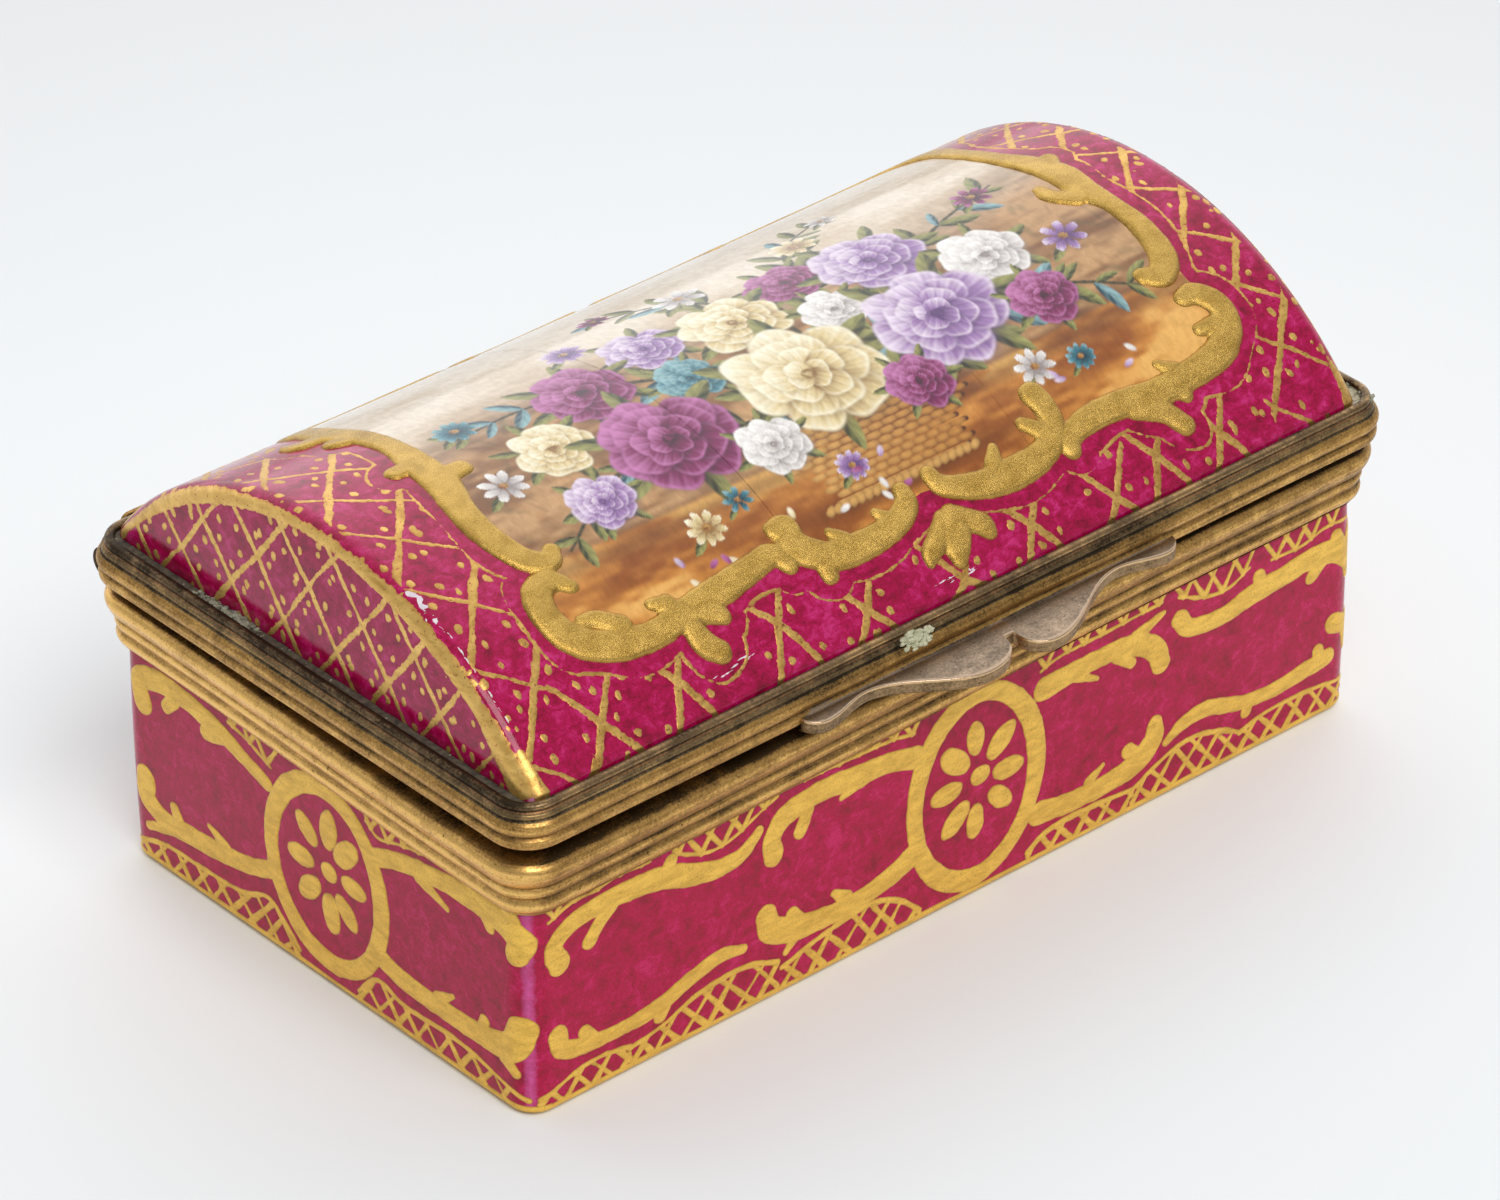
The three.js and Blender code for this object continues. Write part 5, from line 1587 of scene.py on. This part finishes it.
def build_thumbpiece():
    near_end = np.linspace(0, 1, 24) ** 2 * 1.5
    columns = np.unique(np.concatenate([
        THUMB_CENTRE + np.linspace(-THUMB_HALF, THUMB_HALF, 340), THUMB_CENTRE + np.linspace(-1, 1, 41) * 1.2,
        THUMB_CENTRE - THUMB_HALF + near_end, THUMB_CENTRE + THUMB_HALF - near_end]))
    reach = np.maximum(thumb_reach(columns), 0.05)
    wobble = 0.05 * waves(501, columns, 60, 6)
    # Rows of (out, z, groove_and_light): over the top, round the upper edge, down the side and back below
    rows = []
    for share in np.linspace(0, 1, 16)[:-1]:
        out = -THUMB_ROOT + (reach - THUMB_EDGE + THUMB_ROOT) * share
        fillet = 0.75 * smoothstep((0.75 - (out + THUMB_ROOT)) / 0.9)
        fillet = fillet * smoothstep((THUMB_HALF - np.abs(columns - THUMB_CENTRE)) / 1.2)
        rows.append((out, -out * THUMB_SLOPE + fillet + wobble * share,
                     0.35 + 0.65 * max(0, 0.28 - share) / 0.28))
    # The rounded upper edge gets a negative value: a painted highlight along it
    for angle in np.linspace(0, math.pi / 2, 5)[1:]:
        rows.append((reach - THUMB_EDGE * (1 - math.sin(angle)),
                     -reach * THUMB_SLOPE - THUMB_EDGE * (1 - math.cos(angle)) * 0.9 + wobble, -0.10))
    side = len(rows) - 2
    for share in np.linspace(0, 1, 7)[1:]:
        texture = 0.03 * waves(510 + int(share * 10), columns, 7, 12, 0.95)
        down = THUMB_EDGE + (THUMB_THICKNESS - 2 * THUMB_EDGE) * share
        rows.append((reach - 0.10 * share + texture, -reach * THUMB_SLOPE - down + wobble, 0.55))
    for share in np.linspace(1, 0, 8):
        out = (reach - 0.3) * share
        rows.append((out, -out * THUMB_SLOPE - THUMB_THICKNESS + wobble * share, 0.6))
    rows.append((-THUMB_ROOT + 0 * reach, 0.2 - THUMB_THICKNESS, 0.6))
    points = np.concatenate([np.column_stack([columns, thumb_high[1] - out, thumb_high[2] + z + 0 * reach])
                             for out, z, _ in rows])
    grid = np.arange(len(points)).reshape(len(rows), -1)
    after = np.roll(grid, -1, 0)
    quads = np.stack([grid[:, :-1], after[:, :-1], after[:, 1:], grid[:, 1:]], -1).reshape(-1, 4)
    on_side = np.isin(np.arange(len(rows)), range(side, side + 8))
    make_mesh("thumb_ledge", points, [quads, grid[::-1, :1].T, grid[:, -1:].T], [thumb_metal, thumb_side],
              "lid", np.append(np.repeat(on_side, len(columns) - 1), [1, 1]),
              {"groove_and_light": np.repeat([groove_and_light for *_, groove_and_light in rows], len(columns))}, replaces=["thumbpiece"])


# Setting cement, chips and dirt

def cement_band(name, outer, inner, radius, low, high, material, body, seed, shift=0, clean_from=0):
    """A rough band between two rounded rectangles, uneven on top and cream beyond x = clean_from."""
    shares = [0, *np.linspace(0, 1, 7), 1]
    rows = []
    for order, share in enumerate(shares):
        corner = max(radius * (1 - share) + 1.7 * share, 0.2)
        row = flat_ring(outer + (inner - outer) * share, corner, 0)
        row[:, 0] += shift * share
        coarse, fine = value_noise(seed, row, 0.9), value_noise(seed + 1, row, 0.35)
        on_top = 0 < order < len(shares) - 1
        row[:, 2] = high - 0.12 * (0.5 + 0.5 * coarse) - 0.06 * fine if on_top else low
        rows.append(row)
    points, quads, _, _ = skin(rows, True)
    clean = points[quads].mean(1)[:, 0] > clean_from
    make_mesh(name, points, [quads], [material, cement_cream], body, clean,
              replaces=[f"{body}_cement"])


def build_cement():
    cement_band("cement_in_lid", lid_rim_high[:2] - RIM_WALL - 0.1, lid_half + 0.06, 2.6, shelf_high[2] + 0.1,
                lid_rim_high[2] - 0.35, cement_dirty, "lid", 601, lid_shift, lid_half[0] - 1)
    cement_band("cement_in_base", tray_half + 0.05, tray_half - NECK_DEPTH + 0.1, 2.4, NECK_BOTTOM + 0.1,
                tray_top - 0.1, cement_cream, "base", 611)


def crumbs(name, places, material, seed):
    """Small rough lumps at (x, y, z, radius), joined in one piece."""
    sides = 9
    step = np.arange(sides)
    after = (step + 1) % sides
    turn = 2 * math.pi * step / sides
    tilt = np.linspace(-math.pi / 2, math.pi / 2, 7)[1:-1]
    ball = [(0, 0, -1), *((math.cos(t) * math.cos(a), math.cos(t) * math.sin(a), math.sin(t))
                          for t in tilt for a in turn), (0, 0, 1)]
    last = len(ball) - 1
    top = last - sides
    triangles = np.concatenate([np.stack([0 * step, 1 + after, 1 + step], 1),
                                np.stack([last + 0 * step, top + step, top + after], 1)])
    quads = np.concatenate([1 + sides * row + np.stack([step, after, sides + after, sides + step], 1)
                            for row in range(len(tilt) - 1)])
    points = []
    for order, (*place, radius) in enumerate(places):
        lump = radius * (1 + 0.45 * value_noise(seed + order, ball, 0.7))[:, None]
        points.append(place + ball * lump * (1.25, 1.0, 0.75))
    first = len(ball) * np.arange(len(points))[:, None, None]
    faces = [(first + group).reshape(-1, group.shape[1]) for group in (triangles, quads)]
    make_mesh(name, np.concatenate(points), faces, [material], "lid")


FLECK_AT = -6.5
# Chips as (x, place over the arch, length)
CHIPS = ((-46.15, -11.7, 0.55), (-45.9, -12.5, 0.42), (-46.2, -13.2, 0.34), (-46.1, -14.9, 0.26))


def build_crust():
    """Dirt between lip and porcelain, most of it at the left end, and a fleck on the front rim."""
    draw = np.random.default_rng(621)
    left, front = LID_REACH - LIP_INSIDE - lid_rim_high[:2]
    top = lid_rim_high[2]
    crust = []
    for _ in range(110):
        y = draw.choice([9.0, 13.5]) + 1.5 * draw.normal()
        size = draw.uniform(0.08, 0.20) + 0.16 * math.exp(-((y - 10) / 2.5) ** 2)
        crust.append((left + draw.uniform(-0.1, 0.8), y, top - draw.uniform(0.25, 0.55), size))
    for _ in range(60):
        crust.append((left + draw.uniform(0.2, 0.8), draw.uniform(-24, 27), top - draw.uniform(0.45, 0.60),
                      draw.uniform(0.05, 0.13)))
    for _ in range(60):
        crust.append((draw.uniform(-46, 46), front + draw.uniform(0, 0.4), top - 0.45,
                      draw.uniform(0.07, 0.15)))
    for _ in range(26):
        crust.append((-left - draw.uniform(0, 0.6), draw.uniform(-28, -20), top - draw.uniform(0.2, 0.5),
                      draw.uniform(0.10, 0.26)))
    crumbs("crust_at_lip", crust, cement_crust, 622)
    low = lid_rim_low[2]
    reaches, heights = np.array([(LID_REACH * share, low + (top - low) * level)
                                 for share, level in LID_SECTION[SLOPE_FROM:]]).T
    fleck = []
    for _ in range(80):
        angle = draw.uniform(0, 2 * math.pi)
        away = draw.uniform(0, 1) ** 0.7
        z = heights[2] + 0.10 + 0.75 * away * math.sin(angle)
        fleck.append((FLECK_AT + 1.75 * away * math.cos(angle),
                      -(lid_rim_high[1] - LID_REACH + np.interp(z, heights, reaches)), z,
                      draw.uniform(0.18, 0.44) * (1 - 0.45 * away)))
    crumbs("fleck_on_rim", fleck, cement_fleck, 623)


def build_chips():
    """Chips along the lid's front left edge, a painted highlight line down that edge, and pale scratches just
    above its front lip.
    """
    edge = Canvas((-46.9, -44.6), (-26, -10), 0.06)
    draw = np.random.default_rng(631)
    for u, v, long in CHIPS:
        edge.oval(u, v, long, 0.30 * long + 0.14, draw.uniform(60, 120))
    for _ in range(26):
        along = draw.uniform(0, 1) ** 1.6
        edge.oval(-46.1 + 0.22 * draw.normal(), -11.6 - 4.6 * along, draw.uniform(0.10, 0.34) * (1.1 - along),
                  draw.uniform(0.06, 0.20), draw.uniform(60, 120))
    # Short pale strokes down the edge: a painted highlight line
    for v in np.arange(15.5, 25.0, 0.85):
        u = -46.0 + 0.07 * draw.normal()
        edge.stroke([(u, -v, 0.04), (u + 0.05, -v - 0.35, draw.uniform(0.05, 0.10)), (u, -v - 0.7, 0.04)])
    edge.roughen(632, 0.05, 0.3)
    lay("chips_and_edge_highlight", edge, lid_surface, flat_paint(0.012, 0.08), pale_chip_and_highlight)
    front = Canvas((-28, 4), (-31.6, -28.4), 0.07)
    for low, high, level, slope in ((-26.2, -20.6, -29.6, 0.14), (-1.9, 2.3, -30.7, 0)):
        for _ in range(9):
            u = draw.uniform(low, high)
            v = level + slope * (u - low) + draw.uniform(-0.25, 0.25)
            reach = draw.uniform(0.3, 1.0)
            front.stroke([(u - reach, v - 0.06, 0.03), (u, v, draw.uniform(0.05, 0.11)),
                          (u + reach, v + 0.10, 0.03)])
    front.roughen(633, 0.04, 0.3)
    lay("scratches_in_glaze", front, lid_surface, flat_paint(0.012, 0.08), pale_chip_and_highlight)


# Floor, light and camera

FLOOR_HALF = 30
FLOOR_LIGHT_FADE = (0.05, 0.18)       # the painted pool of light round the box fades over these metres from its middle
BRIGHT_SIDE = (0.50, 0.82, 0.26)
STUDIO_STRENGTH = (0.40, 1.60)
KEY_PLACE = (-0.45, -1.7, 2.3)
KEY_TARGET = (0, 0, 0.02)
KEY_SIZE = 1.7
KEY_ENERGY = 49
CAMERA_TURN = (-41.007, 32.703, -0.401)     # degrees round, up and rolled
CAMERA_TARGET = (0, 0, 0.025)
CAMERA_AWAY = (0.000289, -0.005704, 0.700)  # metres from the target: to its right, up and back
CAMERA_FOCAL = 8057.69                      # in pixels of a picture 1500 wide
PICTURE_WIDTH = 1500
SENSOR = 36


def add_to_scene(name, data):
    item = bpy.data.objects.new(name, data)
    bpy.context.scene.collection.objects.link(item)
    return item


def build_floor():
    """A pale sweep with a painted pool of light: a little lighter round the box."""
    nodes = new_material("studio_sweep")
    place = nodes.node("TexCoord", output="Object")
    away = nodes.node("VectorMath", {0: place}, "Value", operation="LENGTH")
    colour = nodes.ramp(nodes.grey(away, 0, 1, *FLOOR_LIGHT_FADE),
                        (0, (0.858, 0.885, 0.902)), (1, (0.735, 0.74, 0.75)))
    mesh = bpy.data.meshes.new("studio_floor")
    corners = [(FLOOR_HALF * x, FLOOR_HALF * y, 0) for x, y in ((-1, -1), (1, -1), (1, 1), (-1, 1))]
    mesh.from_pydata(corners, [], [(0, 1, 2, 3)])
    mesh.materials.append(nodes.finish({"Base Color": colour, "Roughness": 0.7, "Specular IOR Level": 0.2}))
    add_to_scene("studio_floor", mesh)


def build_light():
    """A soft studio, brightest low behind the box, and one large lamp above its front."""
    world = bpy.data.worlds.new("studio")
    bpy.context.scene.world = world
    nodes = Nodes(world, "Background")
    way = nodes.node("TexCoord", output="Generated")
    toward = nodes.node("VectorMath", {0: way, 1: BRIGHT_SIDE}, "Value", operation="DOT_PRODUCT")
    glow = nodes.grey(toward, *STUDIO_STRENGTH, 0.1, 1, interpolation_type="SMOOTHSTEP")
    nodes.finish({"Color": (0.96, 0.98, 1.0), "Strength": glow})
    light = bpy.data.lights.new("key", "AREA")
    light.size = KEY_SIZE
    light.energy = KEY_ENERGY
    light.color = (1, 0.99, 0.97)
    lamp = add_to_scene("key", light)
    lamp.location = KEY_PLACE
    lamp.rotation_euler = (Vector(KEY_TARGET) - Vector(KEY_PLACE)).to_track_quat("-Z", "Y").to_euler()


def build_camera():
    a, e, roll = (math.radians(value) for value in CAMERA_TURN)
    turn = (Matrix.Rotation(a, 3, "Z") @ Matrix.Rotation(math.pi / 2 - e, 3, "X")).to_4x4()
    place = Vector(CAMERA_TARGET) + turn.to_3x3() @ Vector(CAMERA_AWAY)
    data = bpy.data.cameras.new("camera")
    data.sensor_width = SENSOR
    data.lens = SENSOR * CAMERA_FOCAL / PICTURE_WIDTH
    data.clip_start, data.clip_end = 0.05, 60
    camera = add_to_scene("camera", data)
    camera.matrix_world = Matrix.Translation(place) @ turn @ Matrix.Rotation(roll, 4, "Z")
    bpy.context.scene.camera = camera


build_tray()
build_tray_gold()
build_lid()
build_lid_frame()
build_lid_lattice()
build_lid_ends()
build_reserve()
build_rims()
build_bezel()
build_shelf()
build_hinge()
build_thumbpiece()
build_chips()
build_cement()
build_crust()
build_floor()
build_light()
build_camera()
bpy.context.scene.view_settings.view_transform = "Standard"
